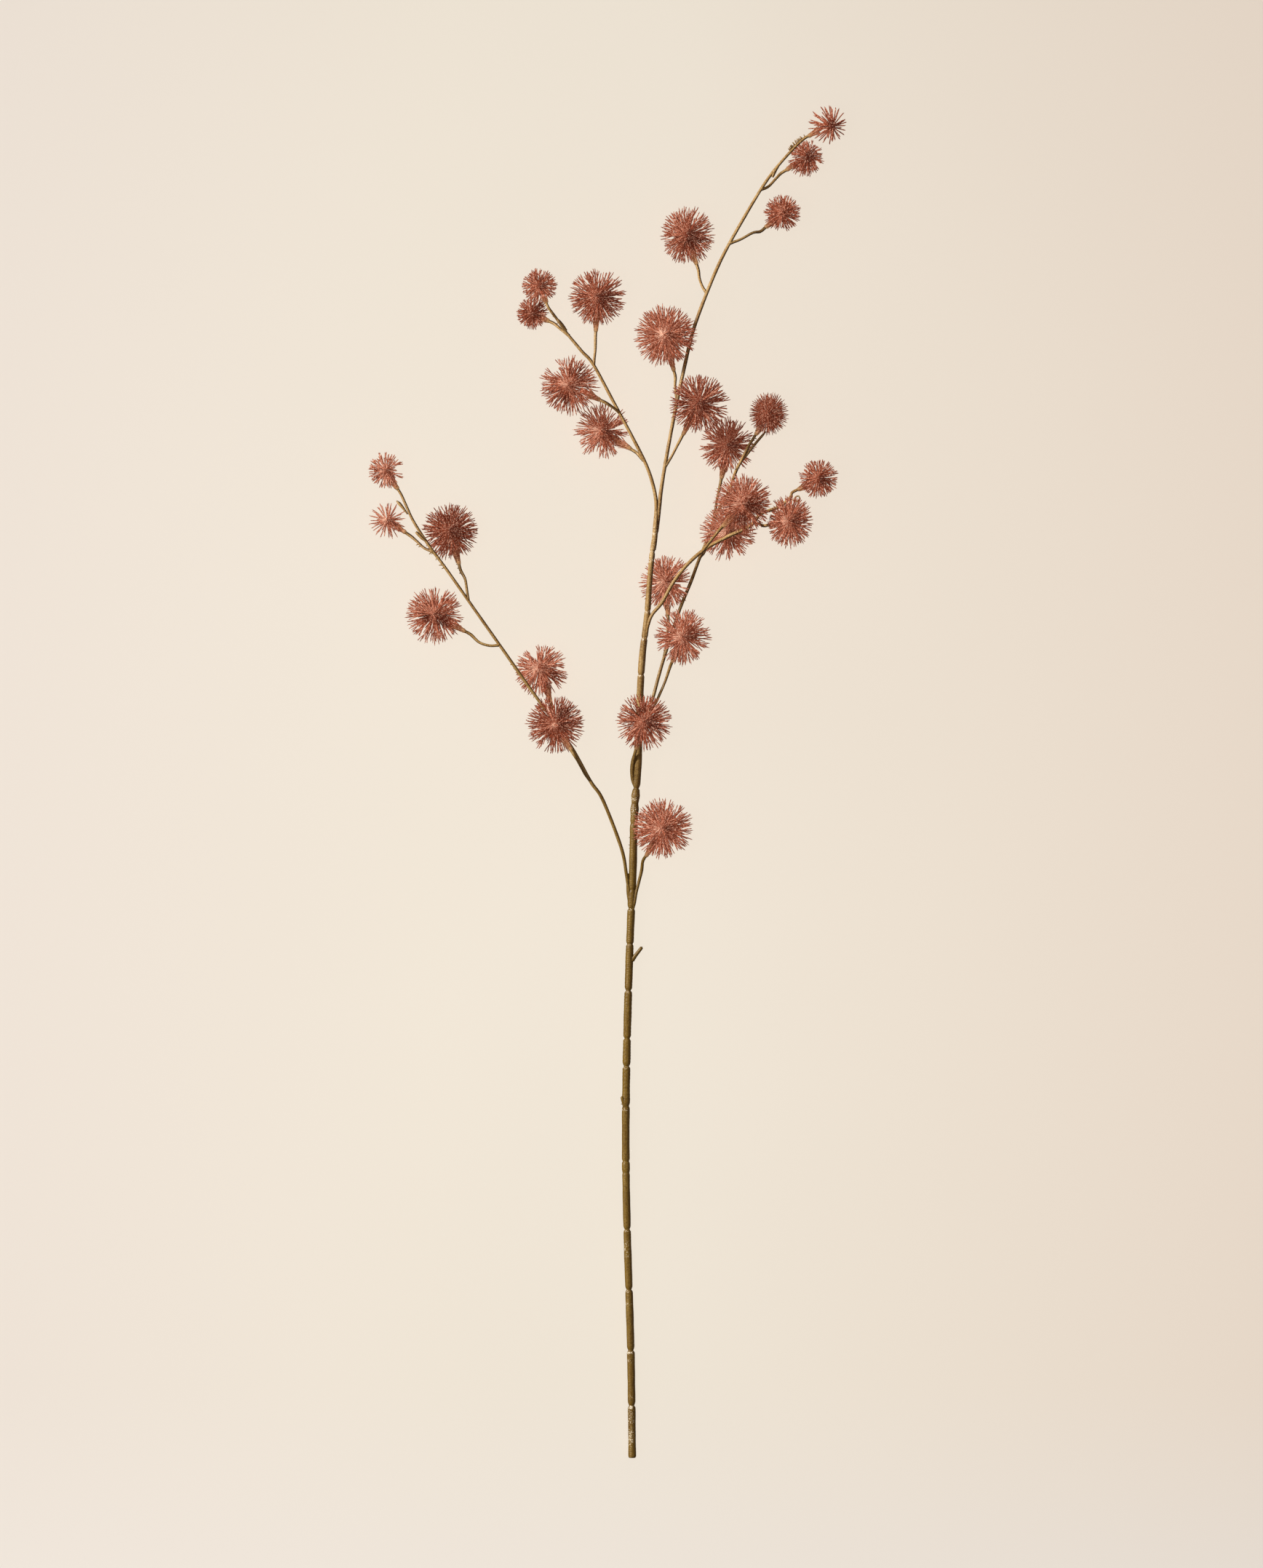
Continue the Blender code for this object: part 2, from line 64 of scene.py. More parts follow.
# ---------------------------------------------------------------- routes: x, y, z, radius
BRANCHES = {
    "main_stem": [
        (16.7, -448.8, 2.5, 2.45), (15.7, -377.0, 4.6, 2.45), (13.3, -297.0, 7.5, 2.40),
        (12.4, -235.0, 9.8, 2.45), (13.3, -170.0, 12.8, 2.45), (15.2, -107.0, 16.4, 2.40),
        (17.1, -60.0, 19.6, 2.45), (18.1, -21.5, 22.8, 2.40), (20.5, 12.5, 25.8, 2.40),
        (22.0, 60.5, 30.0, 2.25), (23.6, 86.0, 32.2, 2.15), (26.4, 109.0, 34.0, 2.00),
        (28.2, 133.0, 35.7, 1.75), (30.2, 154.0, 37.0, 1.70), (33.1, 171.5, 38.0, 1.55),
        (36.8, 200.5, 39.4, 1.20), (44.2, 241.5, 41.0, 1.15), (51.9, 278.0, 41.4, 1.15),
        (57.2, 299.5, 41.0, 1.12), (65.9, 323.5, 39.6, 1.10), (76.5, 348.0, 37.8, 1.05),
        (92.0, 376.0, 36.2, 1.00), (106.5, 399.5, 35.0, 0.95), (120.5, 416.5, 34.2, 0.90),
    ],
    "branch_left": [
        (16.2, -84.0, 18.6, 0.60), (15.0, -73.0, 19.8, 0.95), (13.6, -66.0, 20.0, 1.05),
        (12.8, -60.5, 20.4, 1.10), (9.4, -43.0, 21.8, 1.15), (-2.7, -11.5, 25.6, 1.15),
        (-10.9, 1.0, 28.0, 1.15), (-22.5, 22.0, 30.5, 1.10), (-36.0, 42.0, 31.6, 1.10),
        (-50.9, 62.5, 32.3, 1.05), (-69.8, 89.5, 32.6, 1.05), (-86.7, 113.5, 32.2, 1.00),
        (-107.4, 143.0, 31.2, 1.00), (-117.1, 156.0, 30.2, 1.00), (-127.7, 172.5, 28.6, 0.95),
        (-132.5, 182.5, 27.2, 0.90),
    ],
    "branch_upper_left": [
        (29.4, 147.0, 37.0, 0.60), (30.4, 158.0, 38.0, 0.95), (31.8, 172.0, 38.5, 1.15),
        (32.5, 185.0, 39.2, 1.20), (30.4, 197.0, 39.0, 1.18), (25.8, 210.5, 38.2, 1.15),
        (17.1, 228.0, 36.8, 1.10), (5.1, 250.5, 35.4, 1.05), (-8.9, 276.5, 35.0, 1.05),
        (-16.7, 285.5, 35.2, 1.05), (-26.3, 297.0, 36.6, 1.00), (-29.6, 301.5, 39.6, 0.95),
        (-33.6, 307.0, 44.4, 0.90),
    ],
    "branch_right_front": [
        (24.8, 89.0, 32.8, 0.60), (26.1, 98.5, 34.4, 0.95), (27.5, 105.5, 35.4, 1.10),
        (30.0, 111.5, 36.0, 1.15), (36.5, 119.5, 36.8, 1.20), (44.2, 133.0, 38.0, 1.20),
        (53.8, 145.0, 39.0, 1.20), (64.9, 154.5, 39.8, 1.20), (79.4, 162.5, 41.2, 1.20),
        (94.4, 169.5, 41.2, 1.15), (101.6, 177.5, 40.2, 1.10), (113.7, 182.5, 38.6, 1.05),
        (121.0, 188.5, 37.8, 1.00),
    ],
    "branch_right_rear": [
        (22.6, 33.0, 27.4, 0.90), (25.6, 43.5, 28.0, 1.00), (30.2, 56.0, 28.8, 1.10),
        (34.0, 70.0, 28.4, 1.10), (38.4, 85.0, 27.0, 1.10), (47.6, 113.5, 23.0, 1.10),
        (55.8, 134.0, 19.2, 1.10), (61.1, 148.5, 16.0, 1.10), (67.8, 164.5, 12.8, 1.10),
        (72.7, 179.0, 14.0, 1.10), (79.9, 191.0, 19.0, 1.10), (85.2, 206.0, 26.0, 1.05),
        (89.0, 213.5, 30.0, 1.00), (94.0, 223.5, 33.0, 0.95),
    ],
}

# The head at the end of each branch: centre, radius to the spine tips, foot of the calyx.
END_HEADS = {
    "main_stem": ((146.0, 435.7, 32.0), 13.0, (133.0, 427.6, 33.2)),
    "branch_left": ((-146.5, 206.9, 24.0), 12.6, (-138.5, 194.4, 25.2)),
    "branch_upper_left": ((-44.7, 328.1, 38.0), 12.1, (-39.8, 316.6, 45.3)),
    "branch_right_front": ((139.8, 201.1, 38.0), 13.5, (125.9, 193.7, 37.6)),
    "branch_right_rear": ((106.9, 244.0, 36.0), 14.0, (98.2, 230.1, 34.2)),
}
# Heads on stalks, from number 2 on: where the stalk leaves the branch (x, y), bends, centre, radius, foot.
STALKED_HEADS = {
    "main_stem": [
        ((103.0, 391.5), [(106.6, 394.4, 32.2), (112.5, 400.8, 27.6)], (131.1, 414.0, 22.0), 12.6,
         (118.6, 406.0, 23.0)),
        ((81.8, 356.0), [(88.0, 359.2, 35.6), (96.5, 364.0, 31.2)], (116.1, 377.3, 26.0), 12.6,
         (104.6, 367.7, 27.0)),
        ((65.9, 323.5), [(63.2, 327.8, 36.8), (61.2, 333.6, 32.8)], (53.3, 362.8, 19.4), 19.3,
         (59.4, 343.0, 26.3)),
        ((46.0, 252.0), [(45.0, 261.5, 41.6)], (38.4, 294.8, 50.0), 20.8, (44.2, 271.8, 44.0)),
        ((38.4, 208.5), [(42.0, 214.5, 40.2), (46.0, 222.0, 41.6)], (60.6, 249.9, 52.0), 20.3,
         (50.0, 229.6, 45.0)),
        ((19.5, -3.5), [(17.3, 1.5, 25.2), (16.5, 8.0, 25.8), (17.1, 14.0, 27.4)], (24.4, 40.3, 46.0), 19.3,
         (19.1, 22.0, 33.0)),
        ((16.6, -86.0),
         [(18.0, -80.0, 19.4), (19.2, -73.0, 19.8), (21.2, -65.0, 20.0), (22.9, -58.0, 21.2)],
         (36.9, -30.2, 36.0), 20.3, (25.6, -48.7, 25.0)),
    ],
    "branch_left": [
        ((-114.8, 153.0), [(-121.0, 155.5, 27.5), (-126.5, 160.5, 22.8)], (-145.6, 174.1, 18.0), 12.6,
         (-133.4, 165.8, 20.0)),
        ((-91.5, 120.5), [(-92.8, 128.0, 30.0), (-94.0, 135.0, 26.0)], (-104.0, 166.8, 19.4), 19.3,
         (-98.0, 144.6, 22.4)),
        ((-71.3, 91.5), [(-77.5, 90.8, 32.0), (-84.5, 93.0, 30.6)], (-114.2, 111.3, 26.0), 19.8,
         (-93.7, 100.1, 29.0)),
        ((-31.5, 35.5), [(-32.8, 40.0, 27.0), (-34.8, 45.0, 22.4)], (-43.7, 74.1, 18.4), 18.3,
         (-37.4, 53.1, 20.4)),
        ((-11.2, 1.5), [(-14.0, 5.0, 34.0), (-17.0, 10.5, 44.5), (-19.4, 14.8, 52.0)], (-34.0, 38.4, 42.0),
         19.8, (-23.3, 21.2, 53.7)),
    ],
    "branch_upper_left": [
        ((-25.5, 296.0), [(-30.0, 299.6, 32.4)], (-49.5, 311.2, 22.0), 11.1, (-38.2, 305.6, 26.0)),
        ((-8.9, 276.5), [(-7.8, 286.0, 34.4)], (-6.5, 321.3, 30.0), 19.8, (-7.5, 298.1, 33.0)),
        ((8.0, 245.0), [(4.0, 248.0, 40.0)], (-24.9, 262.4, 38.0), 20.3, (-4.4, 252.7, 42.5)),
        ((24.5, 213.0), [(23.8, 213.4, 32.5), (21.8, 216.0, 27.0)], (-3.1, 233.4, 19.8), 19.8,
         (16.2, 220.9, 23.8)),
    ],
    "branch_right_front": [
        ((96.5, 171.5), [(100.0, 171.5, 35.0)], (120.5, 172.6, 46.0), 17.0, (106.5, 170.6, 32.0)),
        ((63.5, 153.5), [(66.0, 156.5, 46.0), (68.8, 160.0, 55.5), (71.5, 163.2, 62.6)],
         (89.6, 183.7, 50.0), 20.3, (75.7, 168.2, 62.0)),
    ],
    "branch_right_rear": [
        ((71.0, 174.0), [(72.6, 186.0, 15.0), (73.8, 192.0, 16.4)], (79.9, 223.8, 19.4), 19.3,
         (75.7, 201.4, 18.2)),
        ((61.8, 150.5), [(64.2, 152.6, 10.5)], (79.9, 165.4, 28.0), 19.3, (68.5, 158.6, 10.0)),
        ((37.9, 83.5), [(39.5, 93.0, 24.4), (40.0, 101.0, 21.8)], (38.9, 133.0, 18.8), 18.8,
         (40.3, 110.8, 20.8)),
        ((26.8, 46.5), [(31.4, 51.5, 27.6), (35.0, 59.0, 27.0), (38.4, 67.0, 27.0)], (50.0, 96.3, 46.0),
         19.3, (43.0, 79.8, 32.0)),
    ],
}

# Kinds of strand: radii at root, belly and end; steps; its barbs: how many, first and last place as shares
# of its length; how long and how thick they are.
STRANDS = {
    "sprig": ((0.27, 0.40, 0.35), 6, (9, 0.2, 0.97), 0.90, 0.30),
    "side": ((0.34, 0.38, 0.34), 4, (4, 0.15, 0.92), 0.85, 0.28),
    "inner": ((0.30, 0.46, 0.36), 4, (4, 0.35, 0.95), 1.0, 0.22),
    "crown": ((0.22, 0.27, 0.20), 4, (4, 0.1, 0.95), 0.8, 0.18),
    "rib": ((0.26, 0.34, 0.22), 8, (6, 0.2, 0.95), 0.8, 0.2),
    "calyx": ((0.36, 0.36, 0.26), 6, (4, 0.35, 0.95), 0.9, 0.22),
}
# How heads differ from an even ball. Angles are in degrees, turned from +X in plan; places and sizes are
# shares of the radius. This row holds for whatever a head's own row leaves out.
# sprigs, inner, face_strands, crown: how many strands of each kind. sides: side strands of each sprig.
# inner_reach: how far the inner strands go. thick: scale of all strands. pale: shift of the colour.
# hub_at: where the spindle stands. stretch: in x and y. calyx_to: where the calyx ends inside the ball.
# wedges: (turn, half width) left open in the face. gaps: (turn, half width, share kept) all the way round.
# slits: how strongly directions draw together into bundles. ribs: turns of pale strands across the face.
# painted_root_shade, glow: (turn, strength) of the side where roots are painted darker as shade, and paler
# as painted light.
# painted_light_and_shade: patches (x, y, size, strength) of the face, painted shade below zero and painted
# light above it. bare: open round the calyx.
EVEN = dict(
    inner=110, face_strands=48, sides=1, inner_reach=(0.5, 0.8), thick=1.0, hub_at=(0.0, 0.0),
    stretch=(1.0, 1.0), calyx_to=(0.0, 0.0, 0.0), wedges=[], gaps=[], slits=(0.65, 0.25), ribs=[],
    painted_root_shade=(0, 0.8), glow=(180, 0.6), painted_light_and_shade=[],
)
LOOKS = {
    "head_stem_1": dict(sprigs=44, pale=-0.09, sides=0, inner=28, inner_reach=(0.4, 0.6), face_strands=20,
        crown=10, thick=1.2, hub_at=(0.22, -0.12), painted_root_shade=(330, 1.0), gaps=[(205, 10, 0.3)], slits=(0.3, 0.3),
        painted_light_and_shade=[(0.2, -0.08, 0.25, -3.1), (0.5, 0.15, 0.25, -0.8)]),
    "head_stem_2": dict(sprigs=54, pale=-0.11, inner=44, face_strands=36, hub_at=(0.16, 0.10),
        painted_root_shade=(20, 1.0), gaps=[(175, 12, 0.3), (330, 4, 0.3)],
        painted_light_and_shade=[(0.18, 0.04, 0.30, -3.2), (-0.3, -0.3, 0.4, -0.5)]),
    "head_stem_3": dict(sprigs=57, pale=-0.24, inner=80, gaps=[(268, 7, 0.0), (300, 4, 0.2)],
        painted_light_and_shade=[(0.3, -0.2, 0.3, -0.5)]),
    "head_stem_4": dict(sprigs=73, pale=-0.15, stretch=(0.96, 1.03), wedges=[(15, 8)],
        gaps=[(66, 5, 0.1), (192, 7, 0.1), (150, 5, 0.3)],
        painted_light_and_shade=[(0.12, -0.13, 0.24, -2.6), (0.4, -0.1, 0.3, -1.0), (-0.4, 0.5, 0.4, 0.4)]),
    "head_stem_5": dict(sprigs=122, pale=0.12, inner=240, stretch=(1.02, 1.0), wedges=[(12, 8)],
        gaps=[(322, 6, 0.0), (212, 4, 0.0), (178, 4, 0.2)],
        painted_light_and_shade=[(-0.08, 0.03, 0.16, 0.5), (0.26, -0.02, 0.22, 0.1), (0.7, -0.1, 0.2, -0.7)]),
    "head_stem_6": dict(sprigs=77, pale=-0.44, wedges=[(345, 13)], ribs=[38, 142, 222, 300],
        gaps=[(281, 4, 0.1), (200, 6, 0.1), (165, 5, 0.3)],
        painted_light_and_shade=[(0.2, 0.0, 0.28, -0.9), (-0.4, 0.02, 0.25, -0.8)]),
    "head_stem_7": dict(sprigs=73, pale=-0.15, wedges=[(118, 8)], ribs=[48, 140, 218, 312],
        gaps=[(192, 16, 0.6), (8, 8, 0.5), (292, 4, 0.1), (125, 4, 0.1), (308, 5, 0.1)],
        painted_light_and_shade=[(0.33, -0.17, 0.18, -3.8), (-0.2, 0.35, 0.22, -1.7)]),
    "head_stem_8": dict(sprigs=106, pale=0.12, inner=220, stretch=(1.03, 1.0), wedges=[(18, 9)],
        gaps=[(58, 5, 0.0), (236, 4, 0.1), (345, 4, 0.2), (300, 4, 0.2)], painted_light_and_shade=[(0.1, -0.15, 0.22, -0.4)]),
    "head_left_1": dict(sprigs=36, pale=0.36, inner=30, face_strands=26, crown=14, thick=1.1,
        gaps=[(20, 14, 0.2), (350, 9, 0.1)], painted_light_and_shade=[(0.05, -0.05, 0.3, -0.9), (-0.6, -0.03, 0.25, -1.0)]),
    "head_left_2": dict(sprigs=41, pale=0.31, sides=0, inner=26, face_strands=28, crown=20,
        gaps=[(40, 12, 0.3), (350, 7, 0.2)], painted_light_and_shade=[(0.25, -0.12, 0.3, -0.7)], glow=(150, 1.0)),
    "head_left_3": dict(sprigs=90, pale=-0.45, inner=180, wedges=[(330, 12)],
        gaps=[(280, 6, 0.1), (108, 5, 0.1), (210, 5, 0.2)],
        painted_light_and_shade=[(0.1, 0.15, 0.45, -0.7), (0.45, -0.12, 0.25, -0.8)]),
    "head_left_4": dict(sprigs=76, pale=0.08, wedges=[(205, 12), (20, 12)], ribs=[100, 280],
        gaps=[(76, 9, 0.0), (106, 7, 0.0), (235, 6, 0.1), (255, 5, 0.2), (300, 6, 0.1)],
        painted_light_and_shade=[(-0.25, -0.12, 0.15, -3.4), (0.33, -0.22, 0.20, -3.5), (0.55, -0.38, 0.2, 0.5)]),
    "head_left_5": dict(sprigs=68, pale=0.22, inner=100, hub_at=(-0.06, 0.12), wedges=[(310, 16)],
        gaps=[(112, 12, 0.0), (140, 5, 0.2), (5, 7, 0.0), (75, 5, 0.1), (250, 16, 0.35)],
        painted_light_and_shade=[(0.5, -0.2, 0.2, -3.0), (0.3, -0.55, 0.15, -2.0), (0.1, 0.15, 0.2, 0.3)]),
    "head_left_6": dict(sprigs=96, pale=-0.29, inner=180, wedges=[(28, 14), (262, 10)], ribs=[35, 20, 115],
        gaps=[(92, 5, 0.0), (338, 4, 0.1), (190, 5, 0.2), (240, 4, 0.1)],
        painted_light_and_shade=[(0.33, 0.28, 0.3, -2.2), (-0.35, 0.4, 0.25, -0.4), (0.0, 0.0, 0.1, 2.4)]),
    "head_upper_left_1": dict(sprigs=52, pale=-0.05, inner=70, bare=18, gaps=[(78, 4, 0.1), (299, 11, 0.0)],
        wedges=[(299, 10)], calyx_to=(0.04, -0.15, 0.6), painted_light_and_shade=[(0.05, 0.2, 0.35, -1.3)]),
    "head_upper_left_2": dict(sprigs=47, pale=-0.11, inner=44,
        painted_light_and_shade=[(-0.04, -0.1, 0.4, -1.7), (0.5, 0.35, 0.3, -2.2)]),
    "head_upper_left_3": dict(sprigs=73, pale=-0.11, wedges=[(355, 10)],
        gaps=[(78, 7, 0.0), (158, 5, 0.2), (20, 5, 0.1), (300, 5, 0.1)],
        painted_light_and_shade=[(0.37, -0.12, 0.27, -3.2), (-0.5, 0.0, 0.25, -0.6)]),
    "head_upper_left_4": dict(sprigs=63, pale=0.07, wedges=[(330, 8)], calyx_to=(0.25, -0.10, 0.6),
        gaps=[(128, 14, 0.25), (345, 8, 0.2), (5, 5, 0.2)],
        painted_light_and_shade=[(0.33, 0.42, 0.25, -2.1), (-0.2, -0.42, 0.25, -1.7), (0.2, 0.1, 0.2, 0.4)]),
    "head_upper_left_5": dict(sprigs=51, pale=0.30, inner=90, wedges=[(320, 16)],
        gaps=[(8, 9, 0.1), (342, 7, 0.1), (55, 13, 0.1), (250, 8, 0.3), (205, 8, 0.3), (160, 8, 0.4)],
        painted_light_and_shade=[(0.1, -0.2, 0.28, -0.9), (0.1, 0.25, 0.2, -1.3), (0.5, -0.1, 0.25, -1.0)]),
    "head_right_front_1": dict(sprigs=46, pale=-0.11, inner=50, wedges=[(350, 8)],
        gaps=[(95, 5, 0.3), (62, 5, 0.3)], painted_light_and_shade=[(0.25, -0.12, 0.24, -3.0), (-0.3, 0.1, 0.4, -0.3)]),
    "head_right_front_2": dict(sprigs=78, pale=0.05, inner=140, stretch=(0.92, 1.06), wedges=[(355, 12)],
        painted_light_and_shade=[(0.35, 0.05, 0.25, -1.3), (0.7, -0.1, 0.2, -0.8)], gaps=[(228, 4, 0.2)]),
    "head_right_front_3": dict(sprigs=92, pale=0.07, inner=180, gaps=[(318, 5, 0.3)],
        painted_light_and_shade=[(0.4, -0.05, 0.26, -2.4), (-0.05, -0.5, 0.2, -2.5)]),
    "head_right_rear_1": dict(sprigs=121, pale=-0.51, sides=0, inner=240, inner_reach=(0.74, 0.90),
        face_strands=70, thick=0.75, slits=(0.0, 0.0), stretch=(0.96, 1.06), painted_light_and_shade=[(0.0, 0.0, 0.6, -0.3)]),
    "head_right_rear_2": dict(sprigs=75, pale=-0.09, wedges=[(300, 14)],
        gaps=[(174, 9, 0.0), (42, 8, 0.05), (12, 7, 0.1), (335, 8, 0.1), (290, 5, 0.2)],
        painted_light_and_shade=[(0.2, -0.05, 0.27, -1.0)]),
    "head_right_rear_3": dict(sprigs=78, pale=0.29,
        gaps=[(240, 6, 0.1), (262, 5, 0.2), (290, 6, 0.1), (320, 5, 0.2)], painted_light_and_shade=[(0.2, -0.35, 0.3, -1.6)]),
    "head_right_rear_4": dict(sprigs=58, pale=0.36, wedges=[(0, 10)],
        gaps=[(150, 8, 0.2), (195, 10, 0.3), (350, 10, 0.2), (30, 7, 0.3)],
        painted_light_and_shade=[(-0.04, 0.25, 0.3, -0.4), (0.4, 0.1, 0.2, -1.0)]),
    "head_right_rear_5": dict(sprigs=80, pale=0.12, inner=150, wedges=[(355, 13)],
        gaps=[(322, 6, 0.0), (128, 6, 0.1), (222, 9, 0.1), (30, 5, 0.2), (158, 5, 0.2), (348, 4, 0.2)],
        painted_light_and_shade=[(0.42, 0.08, 0.25, -1.7), (-0.1, 0.04, 0.12, 0.1)]),
}


# ---------------------------------------------------------------- mesh gathering
class Shape:
    """Triangles of one piece as they are gathered, with the values that its material reads."""

    def __init__(self):
        self.points, self.faces, self.values = [], [], []
        self.count = 0

    def add(self, points, faces, values):
        """points and values have one row of three for each point; faces count from this batch's first."""
        self.points.append(points)
        self.faces.append(faces + self.count)
        self.values.append(values)
        self.count += len(points)

    def piece(self, name, material):
        points = np.concatenate(self.points) * MM
        faces = np.concatenate(self.faces).astype(np.int32)
        mesh = bpy.data.meshes.new(name)
        mesh.vertices.add(len(points))
        mesh.vertices.foreach_set("co", points.astype(np.float32).ravel())
        mesh.loops.add(faces.size)
        mesh.loops.foreach_set("vertex_index", faces.ravel())
        mesh.polygons.add(len(faces))
        mesh.polygons.foreach_set("loop_start", np.arange(0, faces.size, 3, dtype=np.int32))
        mesh.update(calc_edges=True)
        mesh.polygons.foreach_set("use_smooth", np.ones(len(faces), bool))
        values = np.concatenate(self.values).astype(np.float32)
        layer = mesh.attributes.new("looks", "FLOAT_VECTOR", "POINT")
        layer.data.foreach_set("vector", values.ravel())
        mesh.materials.append(material)
        made = bpy.data.objects.new(name, mesh)
        bpy.context.scene.collection.objects.link(made)
        return made


def unit(rows):
    return rows / np.maximum(np.linalg.norm(rows, axis=-1, keepdims=True), 1e-9)


def across(ways, rng):
    """A random direction square to each of the given ones."""
    return unit(np.cross(ways, unit(rng.normal(size=ways.shape))))


def even_turns(count):
    return np.arange(count) * 2 * math.pi / count


def turned_round(first, second, turn):
    """Directions at every turn from each first direction towards its second one."""
    return np.cos(turn)[:, None] * first[..., None, :] + np.sin(turn)[:, None] * second[..., None, :]


def curve_point(starts, bends, ends, t):
    t = np.asarray(t)[..., None]
    return (1 - t) ** 2 * starts + 2 * t * (1 - t) * bends + t**2 * ends


def curve_lines(curves, t):
    """A row of points on each curve, at the shares t of its way."""
    return curve_point(*(part[:, None] for part in curves), t[None])


def skin(rows, sides, flipped=False):
    """Triangles over rows of points that close round, and over the ends, whose tips are the last points."""
    index = np.arange(rows * sides).reshape(rows, sides)
    after = np.roll(index, -1, axis=1)
    near, far = index, after
    beside, above = after[:-1], index[1:]
    if flipped:
        near, far = far, near
        beside, above = above, beside
    tip = np.full(sides, rows * sides)
    faces = [
        (index[:-1], beside, after[1:]), (index[:-1], after[1:], above),
        (tip, far[0], near[0]), (tip + 1, near[-1], far[-1]),
    ]
    return np.concatenate([np.stack(corners, -1).reshape(-1, 3) for corners in faces])


def add_strands(shape, curves, widths, steps, looks, rng):
    """Closed three-sided tubes along curves, with radii at root, belly and end before they run to a point.

    looks: value at root, value at tip, tone and foot, each as one number or as one for every strand.
    """
    count = len(curves[0])
    if count == 0:
        return
    t = np.append(np.linspace(0.0, 0.92, steps), 1.0)
    line = curve_lines(curves, t)
    tangent = unit(np.gradient(line, axis=1))
    side = across(unit(curves[2] - curves[0]), rng)
    first = unit(np.cross(tangent, side[:, None]))[:, :steps]
    second = np.cross(tangent[:, :steps], first)
    radius = np.interp(t[:steps] / t[steps - 1], [0, 0.6, 1], widths)[:, None, None]
    ring = line[:, :steps, None] + radius * turned_round(first, second, even_turns(3))
    points = np.concatenate([ring.reshape(count, -1, 3), line[:, -1:]], axis=1)
    faces = [(0, 2, 1)]
    last = 3 * (steps - 1)
    for a in range(last):
        b = a + 1 if a % 3 < 2 else a - 2
        faces += [(a, b, b + 3), (a, b + 3, a + 3)]
    faces += [(last + k, last + (k + 1) % 3, last + 3) for k in range(3)]
    faces = np.array(faces) + np.arange(count)[:, None, None] * (last + 4)
    root, tip, tone, foot = (np.broadcast_to(part, count)[:, None] for part in looks)
    share = np.append(np.repeat(t[:steps], 3), 1.0)
    values = (root * (1 - share) + tip * share, tone + 0 * share, foot * (1 - share))
    shape.add(points.reshape(-1, 3), faces.reshape(-1, 3), np.stack(values, axis=-1).reshape(-1, 3))


def add_barbs(shape, spots, ways, lengths, thick, along, tone, rng):
    """Small closed three-sided points, paler than the strand that they stand on."""
    first = across(ways, rng)
    ring = spots[:, None] + thick * turned_round(first, np.cross(ways, first), even_turns(3))
    points = np.concatenate([ring, (spots + ways * lengths[:, None])[:, None]], axis=1)
    faces = np.array([(0, 2, 1), (0, 1, 3), (1, 2, 3), (2, 0, 3)])
    faces = faces + np.arange(len(spots))[:, None, None] * 4
    tone = tone[:, None] + [0.5, 0.5, 0.5, 1.0]
    values = np.stack(np.broadcast_arrays(along[:, None], tone, 0.0), axis=-1)
    shape.add(points.reshape(-1, 3), faces.reshape(-1, 3), values.reshape(-1, 3))


def scatter_barbs(shape, curves, centre, spread, length, thick, tone, rng):
    """Barbs that wind round each curve, leaning towards its tip."""
    each, first, last = spread
    starts, bends, ends = curves
    count = len(starts)
    if count == 0:
        return
    chord = unit(ends - starts)
    side = across(chord, rng)
    other = np.cross(chord, side)
    for step in range(each):
        t = first + (last - first) * (step + rng.uniform(0.3, 0.7, count)) / each
        spots = curve_point(starts, bends, ends, t)
        way = unit(2 * (1 - t)[:, None] * (bends - starts) + 2 * t[:, None] * (ends - bends))
        angle = np.radians(rng.uniform(16, 26, count))[:, None]
        aside = math.cos(2.4 * step) * side + math.sin(2.4 * step) * other
        ways = unit(np.cos(angle) * way + np.sin(angle) * aside)
        lengths = length * rng.uniform(0.85, 1.2, count)
        add_barbs(shape, spots + centre, ways, lengths, thick, 1.0 - 0.7 * t, tone, rng)


def add_bristles(shape, kind, curves, centre, looks, rng, thick=1.0):
    """Strands of one kind, with the barbs on them."""
    widths, steps, spread, length, barb = STRANDS[kind]
    widths = [thick * width for width in widths]
    add_strands(shape, [part + centre for part in curves], widths, steps, looks, rng)
    scatter_barbs(shape, curves, centre, spread, length, barb * thick, looks[2], rng)


def add_tube(shape, line, radii, sides, ripple, values_of):
    """A closed tube along a line of points.

    ripple(turn, way) scales the radius, and values_of(way, turn, ring) gives the looks.
    """
    tangent = unit(np.gradient(line, axis=0))
    first = np.empty_like(line)
    way = unit(np.cross(tangent[0], UP))
    for index, along in enumerate(tangent):
        way = unit(way - along * (way @ along))
        first[index] = way
    lengths = np.linalg.norm(np.diff(line, axis=0), axis=1)
    distance = np.append(0.0, np.cumsum(lengths))[:, None]
    turn = even_turns(sides) + math.pi / 2
    reach = radii[:, None] * ripple(turn[None], distance)
    ring = line[:, None] + reach[..., None] * turned_round(first, np.cross(tangent, first), turn)
    # turn 0 is put on the side that the stem material paints with shade
    if (first @ PAINTED_SHADE_SIDE).mean() < 0:
        turn = math.pi - turn
    values = values_of(*np.broadcast_arrays(distance, turn[None]), ring).reshape(-1, 3)
    values = np.concatenate([values, values[:1], values[-1:]])
    points = np.concatenate([ring.reshape(-1, 3), line[:1], line[-1:]])
    shape.add(points, skin(len(line), sides), values)


